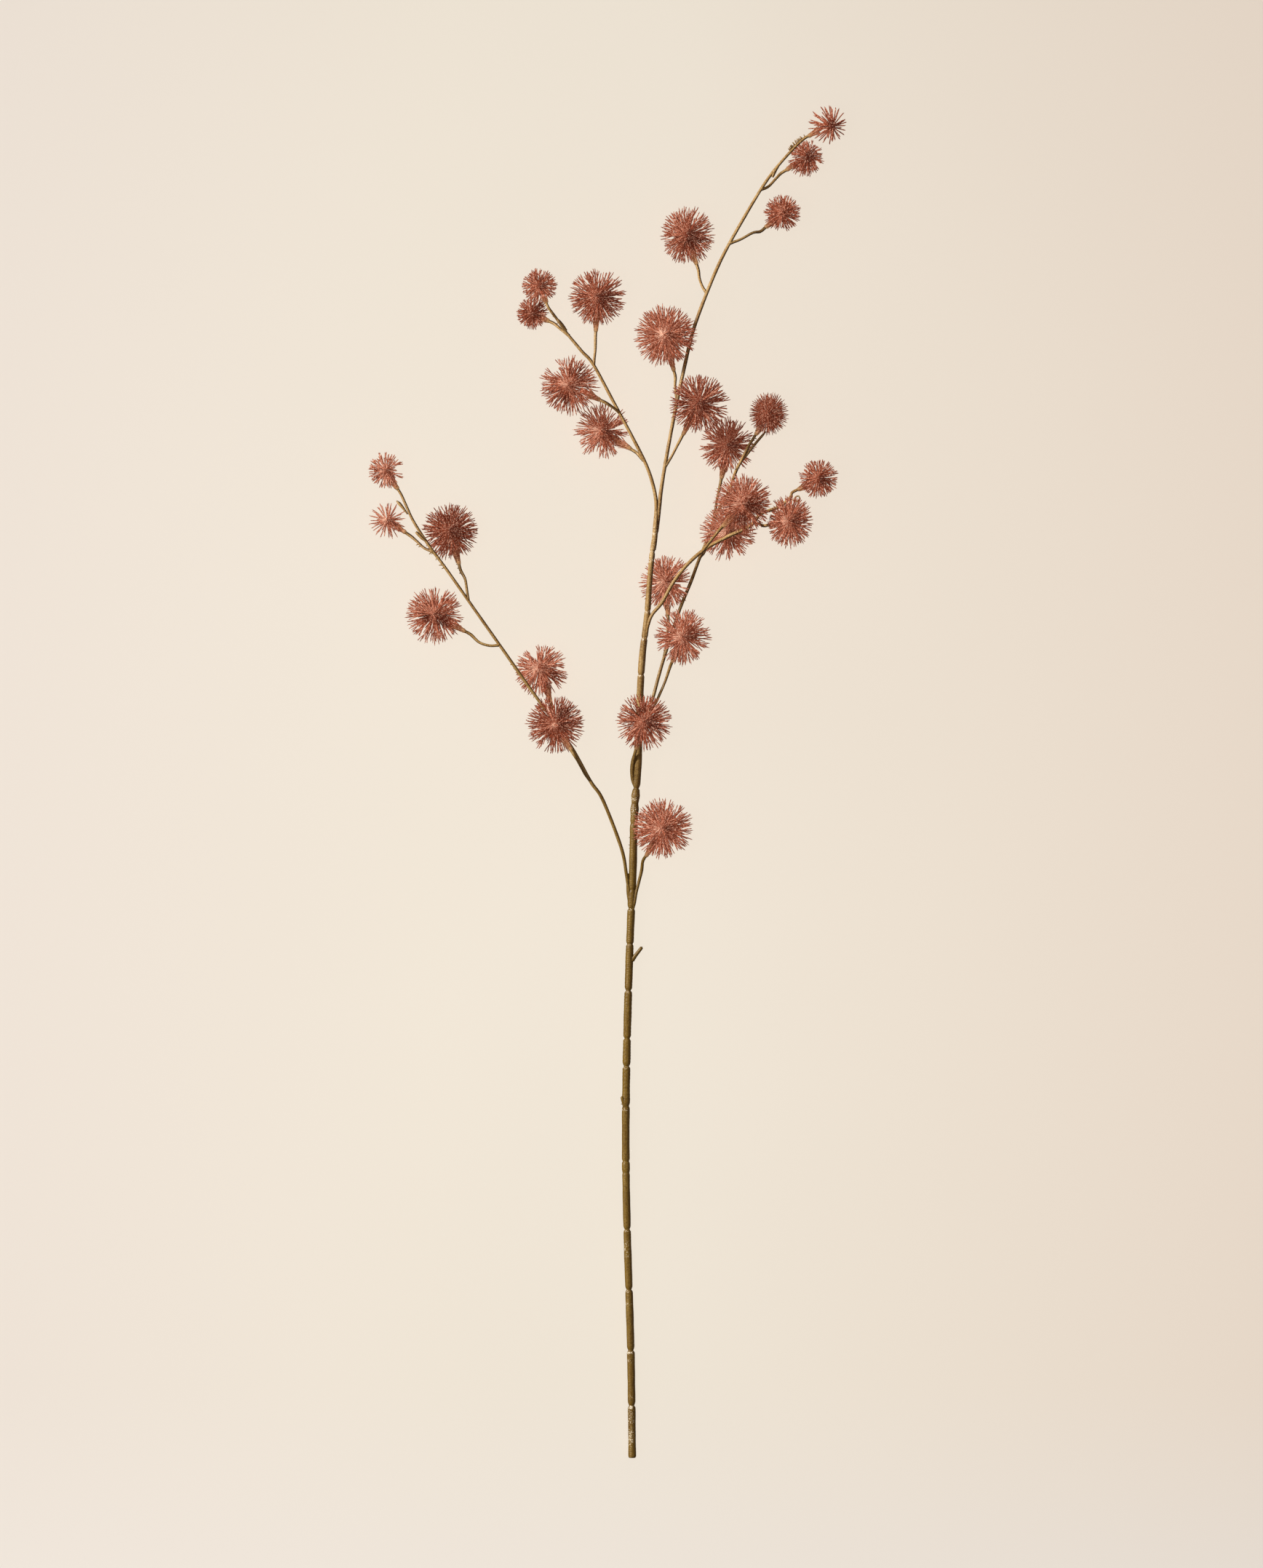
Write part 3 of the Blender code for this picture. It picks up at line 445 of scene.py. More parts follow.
# ---------------------------------------------------------------- routes
def smooth_route(points, step):
    """Rows of x, y, z and radius, about one step apart, on a Catmull-Rom curve through the points."""
    knots = np.array(points, float)
    ends = 2 * knots[[0, -1]] - knots[[1, -2]]
    padded = np.vstack([ends[0], knots, ends[1]])
    rows = [knots[0]]
    for before, start, end, after in zip(padded, padded[1:], padded[2:], padded[3:]):
        pieces = max(1, round(np.linalg.norm((end - start)[:3]) / step))
        for t in np.arange(1, pieces + 1) / pieces:
            bend = (end - before) * t + (2 * before - 5 * start + 4 * end - after) * t**2
            bend += (3 * start - before - 3 * end + after) * t**3
            rows.append(start + bend / 2)
    return np.array(rows)


def point_on(route, x, y):
    """The point of a route that is nearest to x, y in plan."""
    return route[np.argmin(np.linalg.norm(route[:, :2] - [x, y], axis=1))]


def with_foot(points, centre, foot, radius):
    """A route's points, led straight into the calyx foot and a little way up it."""
    centre, foot = np.array(centre), np.array(foot)
    outwards = (foot - centre) / np.linalg.norm(foot - centre)
    return [*points, (*(foot + STRAIGHT * outwards), radius), (*(foot - SUNK * outwards), radius)]


def head_name(branch, number):
    return f"head_{branch.replace('main_', '').replace('branch_', '')}_{number}"


def all_routes():
    """Fine routes of the branches, and for each branch the stalks that leave it."""
    trunks, twigs = {}, {}
    for name, points in BRANCHES.items():
        centre, _, foot = END_HEADS[name]
        step = MAIN_STEP if name == "main_stem" else STEP
        trunk = smooth_route(with_foot(points, centre, foot, points[-1][3]), step)
        trunks[name], twigs[name] = trunk, []
        for number, ((x, y), bends, centre, _, foot) in enumerate(STALKED_HEADS[name], 2):
            radius = STALK_RADII.get(head_name(name, number), STALK_RADIUS)
            points = [(*point_on(trunk, x, y)[:3], 0.95), *[(*bend, radius) for bend in bends]]
            twigs[name].append(smooth_route(with_foot(points, centre, foot, 1.05), STEP))
    return trunks, twigs


def head_table():
    """Name, centre, radius and calyx foot of the heads: first those that end a branch, then the others."""
    rows = [(head_name(branch, 1), *head) for branch, head in END_HEADS.items()]
    for branch, group in STALKED_HEADS.items():
        rows += [(head_name(branch, number), *head[2:]) for number, head in enumerate(group, 2)]
    return [(name, np.array(centre), radius, np.array(foot)) for name, centre, radius, foot in rows]


def planes_towards(name, centre, radius, heads):
    """Where a head's ball meets its neighbours' balls: each plane's direction, and how far along it lies."""
    planes = []
    for other, middle, reach, _ in heads:
        away = middle - centre
        distance = np.linalg.norm(away)
        if other != name and distance < radius + reach:
            limit = (distance**2 + radius**2 - reach**2) / (2 * distance)
            planes.append((away / distance, away @ centre / distance + limit))
    return planes


# ---------------------------------------------------------------- heads
def even_directions(count, rng):
    """Directions spread evenly over a ball and shaken a little."""
    k = np.arange(count) + 0.5
    height = 1 - 2 * k / count
    turn = k * math.pi * (3 - math.sqrt(5)) + rng.uniform(0, 2 * math.pi)
    flat = np.sqrt(1 - height**2)
    ways = np.stack([flat * np.cos(turn), flat * np.sin(turn), height], axis=-1)
    return unit(ways + rng.normal(scale=0.22 / math.sqrt(count), size=ways.shape))


def turned(turn, tilt):
    """The direction that leans by tilt degrees from the front, towards turn degrees in plan."""
    turn, tilt = math.radians(turn), math.radians(tilt)
    return np.array([math.cos(turn) * math.sin(tilt), math.sin(turn) * math.sin(tilt), math.cos(tilt)])


def gathered(ways, count, pull, rng):
    """Pulls directions towards the nearest of a few middles, so that they stand in tufts."""
    middles = even_directions(count, rng)
    nearest = middles[np.argmax(ways @ middles.T, axis=1)]
    return unit(ways + pull * (nearest - ways))


def plan_angle(ways):
    return np.degrees(np.arctan2(ways[:, 1], ways[:, 0]))


def apart(first, second):
    return np.abs((first - second + 180) % 360 - 180)


def clear_share(curves, centre, stems, planes):
    """How much of each curve is free of stems and of the neighbouring heads, from 0 to 1."""
    shares = np.linspace(0.12, 1.0, 10)
    line = curve_lines(curves, shares) + centre
    blocked = np.zeros(line.shape[:2], bool)
    if len(stems):
        for row in range(shares.size):
            room = np.linalg.norm(line[:, row, None] - stems[None, :, :3], axis=2) - stems[None, :, 3]
            blocked[:, row] |= room.min(axis=1) < ROOM
    for normal, limit in planes:
        blocked |= line @ normal > limit
    first = np.where(blocked.any(axis=1), np.argmax(blocked, axis=1), shares.size)
    return np.where(first == 0, 0.0, shares[np.minimum(first, shares.size) - 1])


class Head:
    """One spiny head: strands in rings along a short spindle that faces the front, on a calyx."""

    def __init__(self, name, centre, radius, foot, stems, planes, rng):
        self.look = EVEN | LOOKS[name]
        self.centre, self.radius, self.foot = centre, radius, foot
        near = np.linalg.norm(stems[:, :3] - centre, axis=1) < radius * 1.2 + 3
        self.stems, self.planes, self.rng = stems[near], planes, rng
        self.axis = unit(foot - centre)
        self.stretch = np.array([*self.look["stretch"], 1.0])
        self.hub = np.array([*self.look["hub_at"], 0.0]) * radius
        self.pale, self.thick = self.look["pale"], self.look["thick"]
        self.phases = rng.uniform(0, 2 * math.pi, 2)
        self.shape = Shape()

    def kept(self, ways, bare, gaps=(), wedges=()):
        """Those directions that stay once the calyx, the open gaps and the dark wedges are left out."""
        keep = ways @ self.axis < math.cos(math.radians(bare))
        plan = plan_angle(ways)
        flat = np.linalg.norm(ways[:, :2], axis=1)
        chance = self.rng.random(len(ways))
        for turn, half, share in gaps:
            keep &= ~((apart(plan, turn) < half) & (flat > 0.4) & (chance >= share))
        for turn, half in wedges:
            keep &= ~((apart(plan, turn) < half) & (ways[:, 2] > 0.30))
        return ways[keep]

    def bundled(self, ways):
        """Turns directions a little in plan, so that they stand in bundles with slits between."""
        plan = np.arctan2(ways[:, 1], ways[:, 0])
        flat = np.linalg.norm(ways[:, :2], axis=1)
        for waves, pull, phase in zip(BUNDLES, self.look["slits"], self.phases):
            plan = plan - pull * np.sin(waves * plan + phase) / waves
        return np.stack([flat * np.cos(plan), flat * np.sin(plan), ways[:, 2]], axis=-1)

    def from_spindle(self, ways, depth, reach, sway):
        """Curves towards those directions, in rings along the spindle and low over the face."""
        rng, radius, count = self.rng, self.radius, len(ways)
        depth = rng.uniform(*depth, count)
        reach = rng.uniform(*reach, count)[:, None]
        front = ways @ UP
        flat = ways - front[:, None] * UP
        starts = self.hub + UP * (front * depth * radius)[:, None] + SPINDLE * radius * flat
        ends = radius * reach * (flat + UP * (front * FACE_HEIGHT)[:, None]) * self.stretch
        aside = across(unit(ends - starts), rng)
        bends = 0.5 * (starts + ends) + aside * radius * rng.normal(scale=sway, size=(count, 1))
        return starts, bends, ends

    def trimmed(self, curves, least):
        """Which curves the stems and other heads leave long enough, and the free part of those."""
        share = clear_share(curves, self.centre, self.stems, self.planes)
        keep = share > least
        share = share[keep]
        starts, bends, ends = (part[keep] for part in curves)
        cut_bends = starts + share[:, None] * (bends - starts)
        return keep, (starts, cut_bends, curve_point(starts, bends, ends, share))

    def grown(self, curves, tone, spread=0.12, least=0.4):
        """The free curves with a tone for each, which varies round the head's own."""
        keep, free = self.trimmed(curves, least)
        return free, self.rng.normal(tone + self.pale, spread, len(keep))[keep]

    def bristles(self, kind, curves, *looks):
        add_bristles(self.shape, kind, curves, self.centre, looks, self.rng, self.thick)

    def root_values(self, curves):
        """Painted shade and light: roots are darker on one side of the face's middle and paler on the other,
        as its shaded and lit sides.
        """
        plan = plan_angle(curves[2] - curves[0])
        shares = [
            strength * np.clip(1 - apart(plan, turn) / ROOT_SHADING_FADE, 0, 1)
            for turn, strength in (self.look["painted_root_shade"], self.look["glow"])
        ]
        return 1.0 - 3.0 * shares[0] + 1.2 * shares[1]

    def sprig_strands(self, main, tone):
        """Draws main strands, with their barbs and side strands."""
        self.bristles("sprig", main, self.root_values(main), 0.3, tone, 0.0)
        self.add_sides(main, tone)

    def add_sides(self, main, tone):
        """Side strands that fork off across the line of sight."""
        rng = self.rng
        parent = np.repeat(np.arange(len(tone)), self.look["sides"])
        count = len(parent)
        leave = rng.uniform(0.45, 0.76, count)
        starts, bends, ends = (part[parent] for part in main)
        spots = curve_point(starts, bends, ends, leave)
        way = unit(ends - starts)
        aside = unit(np.cross(way, UP)) * rng.choice([-1.0, 1.0], (count, 1))
        aside = unit(aside + 0.6 * across(way, rng))
        angle = np.radians(rng.uniform(15, 26, count))[:, None]
        length = (np.linalg.norm(ends - spots, axis=1) * rng.uniform(0.84, 1.04, count))[:, None]
        tips = spots + length * (np.cos(angle) * way + np.sin(angle) * aside)
        mids = spots + 0.45 * length * (np.cos(1.4 * angle) * way + np.sin(1.4 * angle) * aside)
        keep, curves = self.trimmed((spots, mids, tips), 0.3)
        tone = (tone[parent] + rng.normal(0, 0.08, count))[keep]
        self.bristles("side", curves, 1.0 - 0.7 * leave[keep], 0.3, tone, 0.0)

    def add_sprigs(self):
        """Main strands from the spindle to the outside, each with side strands and barbs."""
        rng, look = self.rng, self.look
        total = look["sprigs"]
        ways = gathered(even_directions(total, rng), max(10, total // 3), TUFTING, rng)
        ways = self.bundled(ways)
        ways = ways[np.abs(ways @ UP) < 0.93]
        ways = self.kept(ways, look.get("bare", 15), look["gaps"], look["wedges"])
        curves = self.from_spindle(ways, (0.40, 0.55), (0.98, 1.06), 0.025)
        self.sprig_strands(*self.grown(curves, 0.5, least=0.45))

    def add_inner(self):
        """Shorter strands that close the middle of the ball, painted paler than the sprigs as light in its
        shaded depth.
        """
        ways = self.kept(self.bundled(even_directions(self.look["inner"], self.rng)), 16)
        curves = self.from_spindle(ways, (0.2, 0.45), self.look["inner_reach"], 0.02)
        curves, tone = self.grown(curves, 0.45)
        self.bristles("inner", curves, 1.2, 0.9, tone, 0.0)

    def add_face(self):
        """Long strands that lie low over the face, evenly round it, and shorter ones between them."""
        rng, radius, look = self.rng, self.radius, self.look
        total = round(look["face_strands"] * (1.0 if radius > LARGE_HEAD else 0.62))
        for reach, height in (((0.92, 1.0), (0.36, 0.50)), ((0.55, 0.80), (0.46, 0.58))):
            turn = (np.arange(total) + rng.uniform(-0.3, 0.3, total)) * 360 / total + rng.uniform(0, 360)
            ways = self.bundled(np.array([turned(*way) for way in zip(turn, rng.uniform(62, 80, total))]))
            ways = self.kept(ways, look.get("bare", 12), look["gaps"], look["wedges"])
            count = len(ways)
            middle = rng.normal(scale=0.05 * radius, size=(count, 3)) * [1, 1, 0]
            starts = self.hub + middle + UP * (radius * rng.uniform(*height, count))[:, None]
            ends = ways * self.stretch * radius * rng.uniform(*reach, (count, 1))
            bends = 0.5 * (starts + ends) + UP * radius * rng.uniform(0.06, 0.14, (count, 1))
            self.sprig_strands(*self.grown((starts, bends, ends), 0.6))

    def add_crown(self):
        """Fine strands that spread from the front end of the spindle, with most to the left, painted pale as
        painted light on the tuft that the key light strikes.
        """
        rng, radius = self.rng, self.radius
        total = self.look.get("crown", 90 if radius > LARGE_HEAD else 30)
        turn = rng.uniform(0, 360, total)
        ways = np.array([turned(*way) for way in zip(turn, rng.uniform(35, 78, total))])
        ways = self.kept(ways, 20, wedges=self.look["wedges"])
        count = len(ways)
        left = turned(180, 90) * 0.05 * radius
        starts = self.hub + left + UP * radius * rng.uniform(0.46, 0.56, (count, 1))
        starts = starts - 0.08 * radius * ways * [1, 1, 0]
        ends = starts + ways * radius * rng.uniform(0.18, 0.46, (count, 1))
        bends = 0.5 * (starts + ends) + UP * 0.03 * radius
        curves, tone = self.grown((starts, bends, ends), 0.7, spread=0.15)
        root = self.root_values(curves)
        self.bristles("crown", curves, root, 0.6 * root + 0.3, tone, 0.0)

    def add_painted_light_and_shade(self):
        """Paints shade and light on patches of the front: darker or paler there."""
        for points, values in zip(self.shape.points, self.shape.values):
            spot = (points - self.centre) / self.radius
            front = np.clip((spot[:, 2] + 0.2) / 0.3, 0, 1)
            for x, y, size, strength in self.look["painted_light_and_shade"]:
                away = np.hypot(spot[:, 0] - x, spot[:, 1] - y) / size
                values[:, 0] += strength * front * np.exp(-(away**2))

    def piece(self, name, material):
        self.add_sprigs()
        self.add_inner()
        self.add_face()
        self.add_crown()
        add_ribs(self.shape, self.centre, self.radius, self.look["ribs"], self.rng)
        add_core(self.shape, self.centre, 0.13 * self.radius, self.rng)
        calyx_end = self.centre + np.array(self.look["calyx_to"]) * self.radius
        add_calyx(self.shape, calyx_end, self.radius, self.foot, self.pale, self.rng)
        self.add_painted_light_and_shade()
        return self.shape.piece(name, material)


def add_ribs(shape, centre, radius, turns, rng):
    """Pale strands that lie across the face, from the middle outwards."""
    tone = np.array([0.95])
    for turn in turns:
        for shift in (-2.0, 2.0):
            start = turned(turn + 180, 6) * 0.52 * radius
            bend = turned(turn + shift, 38) * 0.66 * radius
            curves = [part[None] for part in (start, bend, turned(turn + shift, 66) * radius)]
            add_bristles(shape, "rib", curves, centre, (0.6, 0.9, tone, 0.0), rng)


def add_core(shape, centre, radius, rng):
    """The spindle in the middle, lumpy with the roots of the strands and coloured dark as painted shade
    inside the ball.
    """
    rows, sides = 8, 14
    tilt = np.linspace(0, math.pi, rows + 2)[1:-1, None]
    turn = even_turns(sides)
    height = np.cos(tilt) + 0 * turn
    ways = np.stack([np.sin(tilt) * np.cos(turn), np.sin(tilt) * np.sin(turn), height], axis=-1)
    points = ways.reshape(-1, 3) * radius * rng.uniform(0.85, 1.15, rows * sides)[:, None]
    points = np.concatenate([points, [[0, 0, radius], [0, 0, -radius]]])
    points = points + 1.4 * (points @ UP)[:, None] * UP
    values = np.tile([0.0, 0.2, 0.0], (len(points), 1))
    shape.add(points + centre, skin(rows, sides, flipped=True), values)


def add_calyx(shape, centre, radius, foot, pale, rng):
    """The cone of gathered strands between the stalk and the ball."""
    axis = unit(foot - centre)
    inwards = np.linalg.norm(foot - centre) - 0.16 * radius
    t = np.linspace(0.0, 1.0, 15)
    wide = 0.095 * radius
    profile = np.interp(t, [0, 0.05, 0.13, 0.3, 0.75, 1.0], [1.05, 1.45, 1.40, 1.30, wide, wide])
    profile = np.maximum(profile, np.where(t < 0.45, 1.05, 0))

    def ripple(turn, way):
        return 1 + 0.07 * np.cos(9 * turn + 0.1 * way) + 0.03 * np.cos(17 * turn + 1.3)

    def values_of(way, turn, ring):
        reach = way / inwards
        streak = 0.45 + pale + 0.28 * np.cos(9 * turn + 0.1 * way) * np.cos(3 * turn + 1)
        return np.stack([0.25 + 0.35 * (1 - reach), streak, np.clip(1 - reach * 2.6, 0, 1)], axis=-1)

    add_tube(shape, foot - axis * (t * inwards)[:, None], profile, 27, ripple, values_of)

    count = 26 if radius > LARGE_HEAD else 16
    turn = (np.arange(count) + rng.uniform(-0.4, 0.4, count)) * 2 * math.pi / count
    side = unit(np.cross(axis, UP + 0.01))
    out = turned_round(side, np.cross(axis, side), turn)
    begin = rng.uniform(0.08, 0.40, count)
    finish = begin + rng.uniform(0.30, 0.50, count)
    middle = 0.5 * (begin + finish)

    def beside(share, reach):
        """Points at shares of the cone's length, that far out from its axis."""
        return foot - centre - axis * (share * inwards)[:, None] + out * reach[:, None]

    curves = (
        beside(begin, np.interp(begin, t, profile)),
        beside(middle, np.interp(middle, t, profile) + 0.3),
        beside(finish, 1.3 + 0.10 * radius * rng.uniform(0.6, 1.5, count)),
    )
    tone = rng.normal(0.5 + pale, 0.25, count)
    add_bristles(shape, "calyx", curves, centre, (0.5, 0.6, tone, 0.5), rng)


# ---------------------------------------------------------------- stems
# Joints of the main stem: y, how deep the pinch is, length of the taper above it.
JOINTS = [
    (-414.0, 0.30, 3.0), (-377.3, 0.32, 3.0), (-336.8, 0.34, 2.6), (-296.7, 0.32, 2.6), (-259.0, 0.12, 2.0),
    (-251.3, 0.18, 2.0), (-214.6, 0.22, 3.0), (-188.1, 0.34, 2.6), (-169.7, 0.34, 2.4), (-137.8, 0.36, 2.4),
    (-106.9, 0.26, 2.0), (-83.3, 0.32, 2.4), (-70.7, 0.18, 1.8), (-27.0, 0.14, 3.0), (-3.6, 0.32, 3.0),
    (71.7, 0.22, 2.0), (95.8, 0.22, 1.8), (113.7, 0.20, 1.8), (147.0, 0.14, 1.8), (152.8, 0.20, 1.6),
    (164.9, 0.14, 1.6),
]
# Swellings of the main stem: y, height, half length.
LUMPS = [
    (-8.5, 0.14, 1.8), (-13.6, -0.11, 1.6), (-17.8, 0.12, 1.9), (-22.6, -0.06, 1.6), (-31.0, 0.08, 2.5),
    (-211.0, 0.05, 3.0), (-255.0, 0.06, 3.0), (-76.0, 0.06, 3.0), (149.8, 0.08, 1.6), (167.5, 0.08, 2.0),
]
# Where the main stem is painted pale, partly for worn paint and partly as painted highlight on the joints:
# y, half length, strength.
WEAR_AND_GLINTS = [
    (-415.2, 1.3, 0.9), (-421.0, 5.5, 0.35), (-435.0, 6.0, 0.55), (-378.6, 0.9, 0.8), (-384.0, 1.5, 0.3),
    (-408.0, 0.8, 0.3), (-346.0, 1.0, 0.3), (-338.0, 0.8, 0.5), (-297.5, 0.8, 0.4), (-310.0, 6.0, 0.25),
    (-217.0, 0.8, 0.5), (-188.9, 0.8, 0.4), (-138.5, 0.8, 0.4), (-107.5, 0.8, 0.4), (-84.2, 0.8, 0.4),
    (-19.0, 3.0, 0.5), (-10.5, 2.0, 0.5), (71.0, 1.0, 0.6), (95.0, 1.0, 0.6), (113.0, 1.0, 0.6),
    (147.0, 1.2, 0.6), (152.8, 0.8, 0.5), (159.0, 13.0, 0.3), (164.9, 0.8, 0.5),
]
# Small strands and sheaths on the branches: rows of x, y, height above the branch, radius.
SLIVERS = {
    "branch_left": [
        [(-132.0, 177.9, 0.4, 0.5), (-134.9, 181.8, 0.8, 0.9), (-137.8, 185.2, 1.0, 1.1),
         (-139.5, 186.8, 1.1, 0.3)],
        [(-119.0, 159.6, 0.3, 0.5), (-121.9, 161.5, 0.7, 1.0), (-124.6, 164.2, 0.8, 1.1),
         (-126.5, 166.1, 0.8, 0.8)],
    ],
    "branch_upper_left": [
        [(-26.8, 299.1, 0.3, 0.7), (-29.2, 302.0, 0.9, 1.1), (-31.6, 304.9, 1.1, 0.9),
         (-33.1, 306.6, 1.1, 0.3)],
    ],
    "main_stem": [
        [(13.9, -60.0, 0.2, 0.9), (14.0, -66.0, 0.5, 1.2), (14.2, -72.0, 0.6, 1.35),
         (15.0, -79.0, 0.6, 1.2), (16.2, -88.0, 0.2, 0.7)],
        [(30.7, 154.0, 0.2, 1.5), (31.4, 160.0, 0.4, 1.75), (31.9, 166.0, 0.5, 1.8),
         (32.3, 172.0, 0.6, 1.7), (32.7, 178.0, 0.5, 1.4), (33.0, 183.0, 0.3, 0.9), (33.2, 187.0, 0.0, 0.3)],
        [(109.4, 400.5, 0.0, 0.8), (111.0, 404.8, 0.3, 1.25), (113.2, 407.7, 0.3, 0.8)],
    ],
    "branch_right_rear": [
        [(89.6, 213.6, 0.0, 0.7), (92.7, 217.5, -0.4, 0.85), (95.8, 221.6, -0.6, 0.85),
         (99.2, 225.7, -0.6, 0.85), (102.6, 229.6, -0.6, 0.8), (105.0, 232.5, -0.8, 0.5)],
    ],
    "branch_right_front": [
        [(122.9, 186.6, 0.2, 0.5), (124.8, 189.0, 0.9, 0.55), (126.7, 189.5, 1.0, 0.5),
         (127.2, 187.6, 1.0, 0.5), (124.8, 185.6, 0.6, 0.4)],
    ],
}
# Burrs: x, y, turn in plan, length.
BURRS = {
    "branch_left": [
        (-123.4, 159.6, 200, 1.6), (-122.1, 157.4, 205, 1.4), (-116.8, 151.1, 225, 2.0),
        (-117.1, 149.9, 200, 1.6), (-114.2, 148.5, 250, 1.8), (-110.3, 141.9, 185, 2.2),
        (-110.3, 141.5, 215, 1.6), (-99.9, 146.5, 190, 0.9), (-98.7, 144.6, 190, 0.9),
        (-97.8, 142.2, 190, 0.9), (-96.8, 139.0, 190, 0.9), (-63.5, 78.5, 200, 0.9),
        (-62.0, 75.6, 200, 0.8), (-58.7, 72.2, 205, 0.9), (-53.3, 64.9, 205, 0.8),
    ],
    "main_stem": [
        (131.3, 427.0, 120, 1.5), (129.6, 425.6, 125, 1.2), (13.3, -36.0, 180, 0.9),
        (13.0, -40.8, 185, 1.0), (13.3, -43.7, 175, 0.8), (11.8, -213.6, 170, 1.0),
    ],
    "branch_upper_left": [
        (-33.1, 306.3, 120, 1.2), (-34.0, 307.3, 170, 1.2), (-32.1, 303.9, 200, 1.0),
    ],
    "branch_right_rear": [
        (94.9, 226.7, 150, 1.2), (99.7, 226.7, 330, 1.4), (96.8, 223.8, 340, 1.4), (93.9, 219.9, 330, 1.2),
    ],
}
# Snapped-off stalks of the main stem: start, tip, radii from one to the other.
STUBS = [
    ((16.5, -117.5, 16.0), (23.4, -108.6, 18.4), (1.7, 1.25, 1.2, 1.15)),
    ((12.4, -216.6, 11.2), (9.7, -207.9, 12.6), (1.5, 1.35, 1.25, 1.1)),
]
# The row of fine spines above the leader: from, to, turn in plan, length, how many.
FUZZ = ((120.5, 417.9), (130.1, 425.1), 125, 2.6, 16)


def joint_scale(y):
    """How far the joints and lumps change the main stem's radius at y: rounded ends, as of links."""
    scale = np.ones_like(y)
    for middle, depth, taper in JOINTS:
        rise = np.maximum((y - middle) / taper, (middle - y) / 1.6)
        scale *= 1 - 1.15 * depth * (1 - np.clip(rise, 0, 1)) ** 1.7
    for middle, height, half in LUMPS:
        scale *= 1 + height * np.exp(-(((y - middle) / half) ** 2))
    return scale


def wear_and_glint_at(ring, turn):
    """How pale the main stem is painted, for worn paint and, at the joints, painted highlight; only on the
    side that faces the light from the upper left.
    """
    y = ring[..., 1]
    wear_and_glint = np.zeros_like(y)
    for middle, half, strength in WEAR_AND_GLINTS:
        wear_and_glint = np.maximum(wear_and_glint, strength * np.exp(-(((y - middle) / half) ** 4)))
    return wear_and_glint * np.clip(1.3 * np.cos(turn - 4.15) - 0.2, 0, 1)


def stem_piece(name, trunk, twigs, material, rng):
    """The bark of a branch and of the stalks that leave it, with its stubs, slivers and burrs."""
    shape = Shape()
    main = name == "main_stem"
    phases = rng.uniform(0, 2 * math.pi, 6)

    def ripple(turn, way):
        ribs = 0.030 * np.cos(7 * turn + phases[0] + 0.012 * way) + 0.020 * np.cos(11 * turn + phases[1])
        wobble = 0.018 * np.sin(way / 5.3 + phases[2]) + 0.014 * np.sin(way / 2.1 + 2 * turn + phases[3])
        depth = 0.006 + 0.012 * np.exp(-(((way - 300) / 70) ** 4)) * main
        beads = np.sin(way * 2 * math.pi / BEAD_LENGTH + phases[4] + 5 * np.cos(turn + way / 9))
        return 1 + ribs + wobble + depth * beads

    def values_of(way, turn, ring):
        wear_and_glint = wear_and_glint_at(ring, turn) if main else np.zeros_like(way)
        return np.stack([way, turn, wear_and_glint], axis=-1)

    line, radii = trunk[:, :3], trunk[:, 3].copy()
    if main:
        radii *= 1.04 * joint_scale(line[:, 1])
        radii[:3] *= [0.78, 0.93, 0.98]  # the rounded edge of the cut end
    add_tube(shape, line, radii, 20 if main else 12, ripple, values_of)
    for route in twigs:
        swelling = 1 + 0.25 * np.exp(-((np.arange(len(route)) / 3.0) ** 2))
        add_tube(shape, route[:, :3], route[:, 3] * swelling, 10, ripple, values_of)
    for start, tip, radii in STUBS if main else []:
        add_stub(shape, np.array(start), np.array(tip), radii, ripple, values_of)
    routes = np.vstack([trunk, *twigs])
    for points in SLIVERS.get(name, []):
        rows = [(x, y, point_on(routes, x, y)[2] + lift, r) for x, y, lift, r in points]
        route = smooth_route(rows, 0.8)
        add_tube(shape, route[:, :3], np.maximum(route[:, 3], 0.1), 9, ripple, values_of)
    add_burrs(shape, routes, BURRS.get(name, []), rng)
    if main:
        start, end, turn, length, count = FUZZ
        spots = [np.array(start) + (np.array(end) - start) * t for t in np.linspace(0, 1, count)]
        rows = [(x, y, turn + rng.uniform(-14, 14), length * rng.uniform(0.7, 1.1)) for x, y in spots]
        add_burrs(shape, routes, rows, rng)
    return shape.piece(name + "_bark", material)


def add_burrs(shape, routes, rows, rng):
    """Small thorns that stand out from the branches."""
    for x, y, turn, length in rows:
        spot = point_on(routes, x, y)
        way = turned(turn, rng.uniform(65, 85))
        start = spot[:3] + way * spot[3] * 0.7
        end = spot[:3] + way * (spot[3] + length)
        bend = 0.5 * (start + end) + 0.1 * length * UP
        curves = (start[None], bend[None], end[None])
        # turn 4.3 puts the burrs on the lit side of the stem colouring: painted glints and no painted shade;
        # 0.4 gives them pale chips of wear and painted highlight.
        add_strands(shape, curves, (0.50, 0.40, 0.30), 3, (0.0, length, 4.3, 0.4), rng)


def add_stub(shape, start, tip, radii, ripple, values_of):
    """A snapped-off stalk with a rounded end."""
    t = np.linspace(0.0, 1.0, 16)
    line = start + t[:, None] * (tip - start)
    radius = np.interp(t, np.linspace(0, 1, len(radii)), radii)
    length = np.linalg.norm(line[-1] - line[0])
    left = np.clip((1 - t) * length / radii[-1], 0, 1)
    radius = np.maximum(radius * np.sqrt(1 - (1 - left) ** 2), 0.05)
    add_tube(shape, line, radius, 12, ripple, values_of)


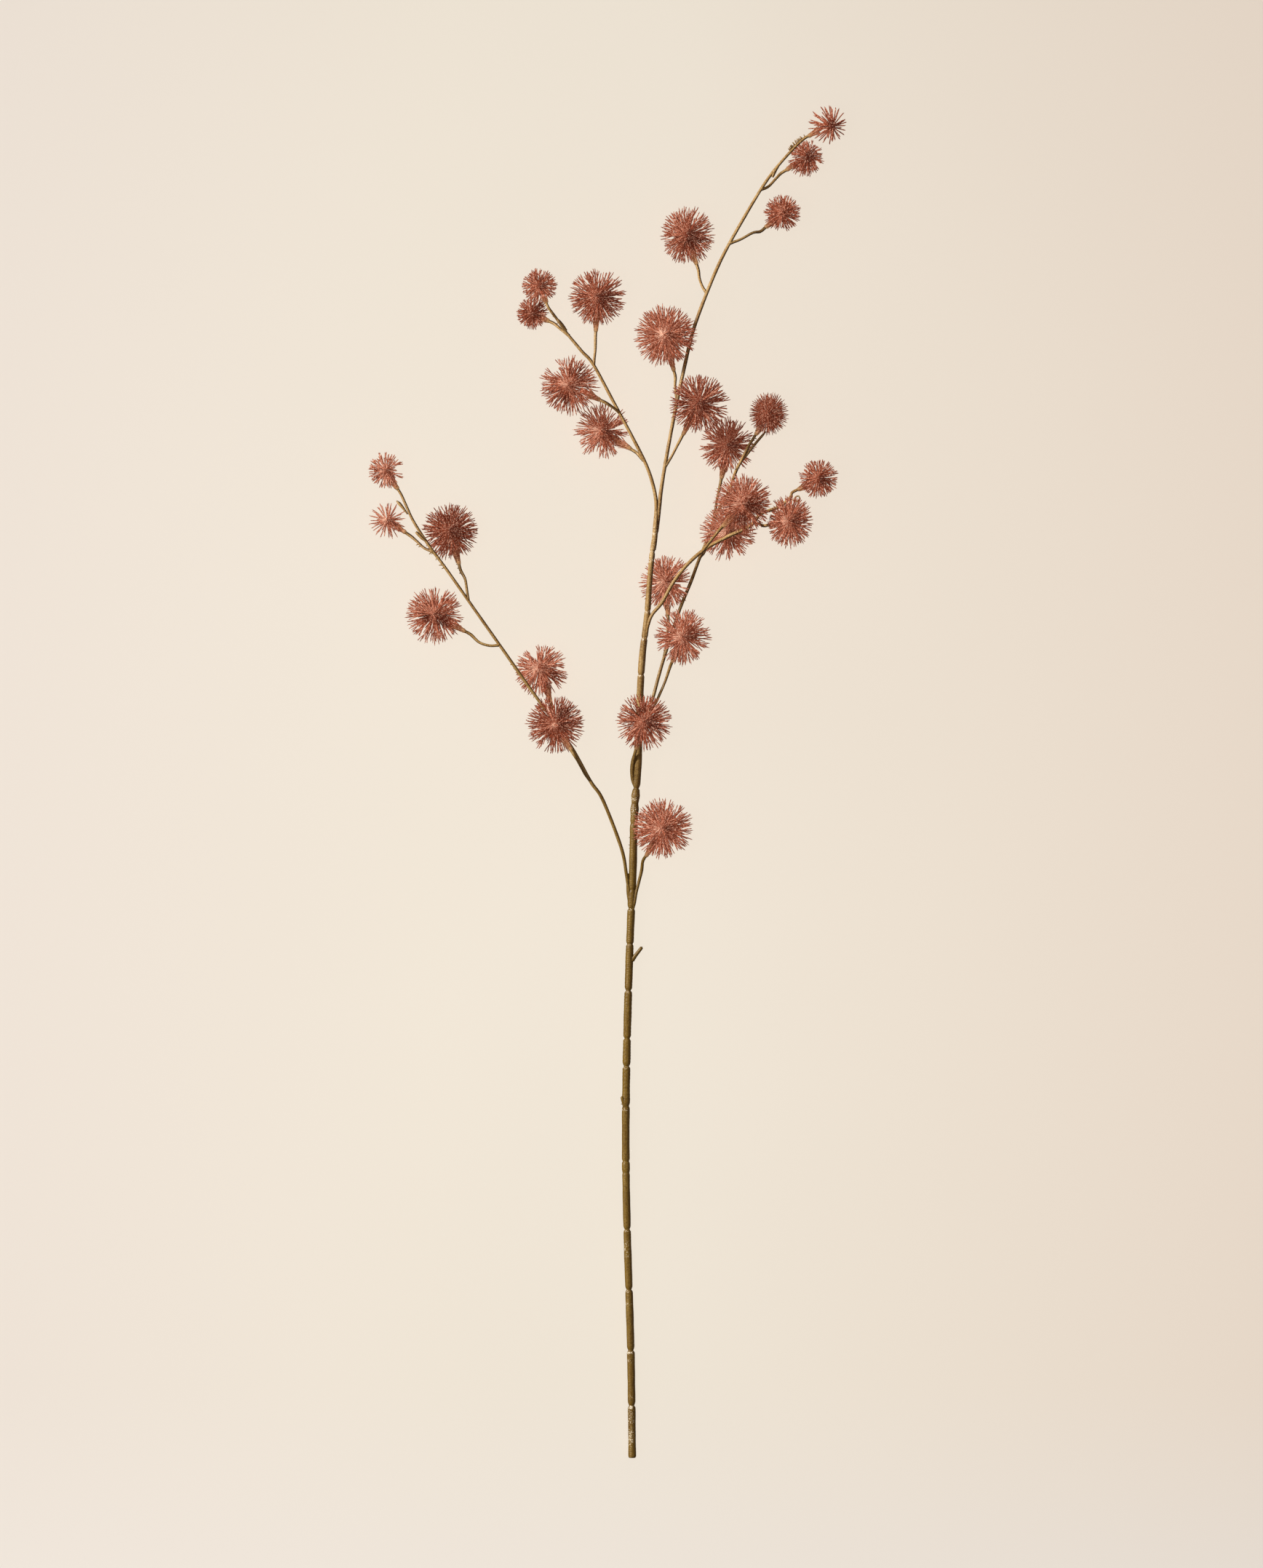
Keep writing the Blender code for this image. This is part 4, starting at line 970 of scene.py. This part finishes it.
# ---------------------------------------------------------------- materials
class Field:
    """A number or colour that a node gives at each point. Arithmetic on it adds math nodes."""

    def __init__(self, made, output=0):
        self.tree, self.socket = made.id_data, made.outputs[output]

    def math(self, operation, other=0.0):
        return Field(add_node(self.tree, "ShaderNodeMath", {0: self, 1: other}, operation=operation))

    def __add__(self, other):
        return self.math("ADD", other)

    def __sub__(self, other):
        return self.math("SUBTRACT", other)

    def __mul__(self, other):
        return self.math("MULTIPLY", other)

    def __pow__(self, other):
        return self.math("POWER", other)

    def ramp(self, *stops):
        """Colours at places from 0 to 1."""
        made = add_node(self.tree, "ShaderNodeValToRGB", {"Fac": self})
        elements = made.color_ramp.elements
        while len(elements) < len(stops):
            elements.new(0.5)
        for element, (place, colour) in zip(elements, stops):
            element.position = place
            element.color = (*colour, 1.0)
        return Field(made, "Color")

    def mask(self, black, white):
        """Black where the field is at one value, white where it is at the other."""
        return self.ramp(*sorted([(black, (0, 0, 0)), (white, (1, 1, 1))]))

    def between(self, start, end):
        """0 at one value and 1 at the other."""
        inputs = {"Value": self, "From Min": start, "From Max": end}
        return Field(add_node(self.tree, "ShaderNodeMapRange", inputs), "Result")

    def noise(self, scale, detail=2.0, rough=0.5):
        inputs = {"Vector": self, "Scale": scale, "Detail": detail, "Roughness": rough}
        return Field(add_node(self.tree, "ShaderNodeTexNoise", inputs), "Fac")

    def parts(self):
        made = add_node(self.tree, "ShaderNodeSeparateXYZ", {0: self})
        return [Field(made, part) for part in range(3)]


def add_node(tree, kind, inputs, **settings):
    """A node whose inputs are linked to fields, or set to numbers and colours."""
    made = tree.nodes.new(kind)
    for key, value in settings.items():
        setattr(made, key, value)
    for key, value in inputs.items():
        if isinstance(value, Field):
            tree.links.new(value.socket, made.inputs[key])
        else:
            made.inputs[key].default_value = (*value, 1.0) if isinstance(value, (list, tuple)) else value
    return made


def mix(factor, first, second):
    """One colour turning into another. The numbers are those of the Mix node's colour sockets."""
    inputs = {0: factor, 6: first, 7: second}
    return Field(add_node(factor.tree, "ShaderNodeMix", inputs, data_type="RGBA"), 2)


def linear(red, green, blue):
    """An sRGB colour, 0 to 255, as Blender's linear values."""
    values = [channel / 255 for channel in (red, green, blue)]
    return [v / 12.92 if v <= 0.04045 else ((v + 0.055) / 1.055) ** 2.4 for v in values]


def new_material(name):
    """A material, its empty node tree, its object coordinates and the values that its meshes hold."""
    made = bpy.data.materials.new(name)
    made.use_nodes = True
    tree = made.node_tree
    tree.nodes.clear()
    where = Field(add_node(tree, "ShaderNodeTexCoord", {}), "Object")
    looks = Field(add_node(tree, "ShaderNodeAttribute", {}, attribute_name="looks"), "Vector")
    return made, tree, where, looks


def add_shader(tree, inputs):
    shader = Field(add_node(tree, "ShaderNodeBsdfPrincipled", inputs), "BSDF")
    add_node(tree, "ShaderNodeOutputMaterial", {"Surface": shader})


def spine_material():
    """Dusty rose strands, olive where they meet the stalk; roots and inner strands are painted paler, as
    light in the shaded depth of the ball.
    """
    made, tree, where, looks = new_material("spines_dusty_rose")
    along, tone, foot = looks.parts()
    grain = where.noise(900.0, 3.0)
    # along carries painted light and shade: paler roots and inner strands in the ball's shaded depth, the
    # darker and paler sides of the roots, and the painted patches of the face.
    shade = along * 0.28 + tone * 0.42 + where.noise(90.0) * 0.20
    colour = shade.ramp(
        (0.05, linear(88, 32, 16)), (0.38, linear(130, 62, 39)),
        (0.68, linear(163, 93, 68)), (1.0, linear(238, 200, 176)),
    )
    colour = mix(grain.mask(0.50, 0.64) * 0.45, colour, linear(228, 184, 160))
    colour = mix(grain.mask(0.46, 0.34) * 0.5, colour, linear(92, 38, 22))
    colour = mix(foot * 0.95, colour, linear(146, 116, 78))
    add_shader(tree, {"Base Color": colour, "Roughness": grain * 0.3 + 0.34, "Specular IOR Level": 0.05})
    return made


def stem_material():
    """Olive-brown painted stem with long streaks, pale flecks of worn paint and of painted highlight,
    painted shade on its side away from the light, painted glints on its lit side and a slight gloss.
    """
    made, tree, where, looks = new_material("stem_olive_brown")
    way, turn, wear_and_glint = looks.parts()
    round_stem = {0: way * 0.05, 1: turn.math("COSINE") * 1.6, 2: turn.math("SINE") * 1.6}
    streaks = Field(add_node(tree, "ShaderNodeCombineXYZ", round_stem)).noise(2.2, 4.0, 0.6)
    blotches = where.noise(60.0, 3.0)
    fine = where.noise(700.0, 3.0, 0.6)
    height = where.parts()[1].between(-0.06, 0.17)

    tone = streaks * 0.65 + blotches * 0.45
    olive = [(0.30, linear(88, 60, 16)), (0.55, linear(102, 77, 24)), (0.82, linear(130, 102, 40))]
    tan = [(0.36, linear(108, 72, 32)), (0.55, linear(157, 121, 70)), (0.74, linear(200, 168, 117))]
    colour = mix(height, tone.ramp(*olive), tone.ramp(*tan))
    # Painted shade: the side of the stems away from the key light is mixed towards dark brown, more so
    # higher up.
    aside = turn.math("COSINE").mask(0.05, 0.50) * (height * 0.86 + 0.08)
    colour = mix(aside, colour, linear(60, 28, 10))

    speckle = where.noise(1500.0, 2.0, 0.6).mask(0.53, 0.62) * (height * 0.20 + 0.22)
    colour = mix(speckle, colour, mix(height, linear(178, 150, 92), linear(216, 190, 142)))
    colour = mix(fine.mask(0.47, 0.38) * 0.38, colour, linear(64, 42, 14))

    # Painted highlight: rows of pale glints, only along the side of the stems that faces the key light.
    beads = (way * 4.3 + (blotches * 14.0 + fine * 9.0)).math("SINE") * 0.5 + 0.5
    lit = (turn - 4.25).math("COSINE").math("MAXIMUM", 0.0) ** 16.0
    painted_glints = (beads * lit * where.noise(30.0).mask(0.44, 0.62)) ** 2.0
    colour = mix(painted_glints * 0.26, colour, linear(214, 188, 136))

    # Pale chips: partly worn paint, partly painted highlight where the joints face the light.
    chips_and_glints = (wear_and_glint * 0.22 + where.noise(1400.0, 2.0, 0.6)).mask(0.65, 0.70)
    chips_and_glints = chips_and_glints * (wear_and_glint * 4.0).math("MINIMUM", 0.75)
    colour = mix(chips_and_glints, colour, linear(236, 224, 200))

    relief = {"Strength": 0.3, "Distance": 0.0006, "Height": streaks + fine * 0.7}
    bump = Field(add_node(tree, "ShaderNodeBump", relief), "Normal")
    rough = streaks * 0.25 + 0.26
    add_shader(tree, {"Base Color": colour, "Roughness": rough, "Specular IOR Level": 0.2, "Normal": bump})
    return made


def floor_material():
    """Plain cream, a little warmer or cooler towards its sides."""
    made, tree, where, _ = new_material("floor_cream")
    colour = where.noise(3.0).ramp((0.3, (0.765, 0.705, 0.622)), (0.7, (0.780, 0.720, 0.636)))
    x, y, _ = where.parts()
    colour = mix(x.between(-0.12, -0.42), colour, (0.744, 0.678, 0.618))
    colour = mix(x.between(0.05, 0.45), colour, (0.770, 0.676, 0.590))
    colour = mix(y.between(-0.40, -0.55), colour, (0.775, 0.720, 0.668))
    add_shader(tree, {"Base Color": colour, "Roughness": 0.95, "Specular IOR Level": 0.1})
    return made


# ---------------------------------------------------------------- stage
def add_floor():
    mesh = bpy.data.meshes.new("floor")
    mesh.from_pydata([(-4, -4, 0), (4, -4, 0), (4, 4, 0), (-4, 4, 0)], [], [(0, 1, 2, 3)])
    mesh.materials.append(floor_material())
    made = bpy.data.objects.new("floor", mesh)
    made.visible_diffuse = False
    made.visible_glossy = False
    bpy.context.scene.collection.objects.link(made)
    return made


def collection_of(name, members):
    made = bpy.data.collections.new(name)
    for member in members:
        made.objects.link(member)
    return made


def add_lamp(name, kind, place, colour, takers, blockers, **settings):
    """A lamp aimed at the middle that lights only the takers, and is shaded only by the blockers, if any."""
    lamp = bpy.data.lights.new(name, kind)
    lamp.color = colour
    for key, value in settings.items():
        setattr(lamp, key, value)
    made = bpy.data.objects.new(name, lamp)
    made.location = place
    made.rotation_mode = "QUATERNION"
    made.rotation_quaternion = (Vector((0.0, 0.0, 0.0)) - Vector(place)).to_track_quat("-Z", "Y")
    bpy.context.scene.collection.objects.link(made)
    made.light_linking.receiver_collection = takers
    if blockers:
        made.light_linking.blocker_collection = blockers


def add_lights(floor, bark, spines):
    """A key from the left and a wide fill, set for stems and for heads. The floor has a wash of its own."""
    world = bpy.data.worlds.new("studio")
    world.use_nodes = True
    background = world.node_tree.nodes["Background"]
    background.inputs["Color"].default_value = (1.0, 0.97, 0.93, 1.0)
    background.inputs["Strength"].default_value = 0.06
    bpy.context.scene.world = world
    lifted = [piece for piece in bark if "right_front" in piece.name or "upper_left" in piece.name]
    stems = collection_of("stems", bark)
    heads = collection_of("heads", spines)
    ground = collection_of("ground", [floor])
    front = collection_of("front_branches", lifted)
    back = collection_of("other_branches", [piece for piece in bark if piece not in lifted])
    warm, sand, glow = (1.0, 0.975, 0.94), (1.0, 0.84, 0.66), (1.0, 0.72, 0.60)
    for name, place, colour, takers, blockers, energy, spread in (
        ("key_stems", (-1.6, 0.6, 1.0), warm, back, None, 5.1, 12),
        ("key_front", (-1.6, 0.6, 1.0), warm, front, ground, 5.1, 12),
        ("fill_stems", (-0.1, 0.2, 2.0), sand, stems, None, 0.8, 120),
        ("side_stems", (1.8, -0.3, 0.2), sand, stems, stems, 0.5, 120),
        ("key_heads", (-1.3, 0.75, 1.3), warm, heads, heads, 3.4, 12),
        ("fill_heads", (0.1, 0.2, 2.0), warm, heads, heads, 2.05, 120),
        ("lift_heads", (0.0, 0.0, 2.0), (1.0, 0.84, 0.76), heads, stems, 1.0, 120),
        ("side_heads", (1.8, -0.8, 0.3), glow, heads, stems, 0.85, 120),
        ("bounce_heads", (0.0, 0.0, -2.0), glow, heads, stems, 1.35, 120),
    ):
        add_lamp(name, "SUN", place, colour, takers, blockers, energy=energy, angle=math.radians(spread))
    wash, above = (1.0, 0.98, 0.945), (-0.60, -0.08, 3.3)
    add_lamp("floor_wash", "AREA", above, wash, ground, ground, energy=131.0, size=2.0)
    add_lamp("floor_soft", "AREA", above, wash, ground, None, energy=4.0, size=2.0)


def add_camera():
    """Straight above the branch, so far off that depth hardly changes the scale."""
    height = 5.5
    branch_height = 0.015
    view_height = 1.0405
    camera = bpy.data.cameras.new("camera")
    camera.sensor_fit = "VERTICAL"
    camera.sensor_height = 36.0
    camera.lens = camera.sensor_height * (height - branch_height) / view_height
    camera.clip_end = 30.0
    made = bpy.data.objects.new("camera", camera)
    made.location = (0.0162, -0.0007, height)
    bpy.context.scene.collection.objects.link(made)
    bpy.context.scene.camera = made


def main():
    bpy.context.scene.view_settings.view_transform = "Standard"
    add_camera()
    floor = add_floor()
    bark, balls = [], []
    trunks, twigs = all_routes()
    material = stem_material()
    for number, (name, trunk) in enumerate(trunks.items()):
        made = stem_piece(name, trunk, twigs[name], material, np.random.default_rng(STEM_SEED + number))
        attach(made, "root")
        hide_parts(name)
        bark.append(made)
    material = spine_material()
    heads = head_table()
    stems = np.concatenate([*trunks.values(), *[route for group in twigs.values() for route in group]])
    for number, (name, centre, radius, foot) in enumerate(heads):
        others = stems[np.linalg.norm(stems[:, :3] - foot, axis=1) > OWN_STALK]
        planes = planes_towards(name, centre, radius, heads)
        head = Head(name, centre, radius, foot, others, planes, np.random.default_rng(HEAD_SEED + number))
        made = head.piece(name + "_spines", material)
        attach(made, "root")
        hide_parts(name)
        balls.append(made)
    add_lights(floor, bark, balls)
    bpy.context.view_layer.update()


main()
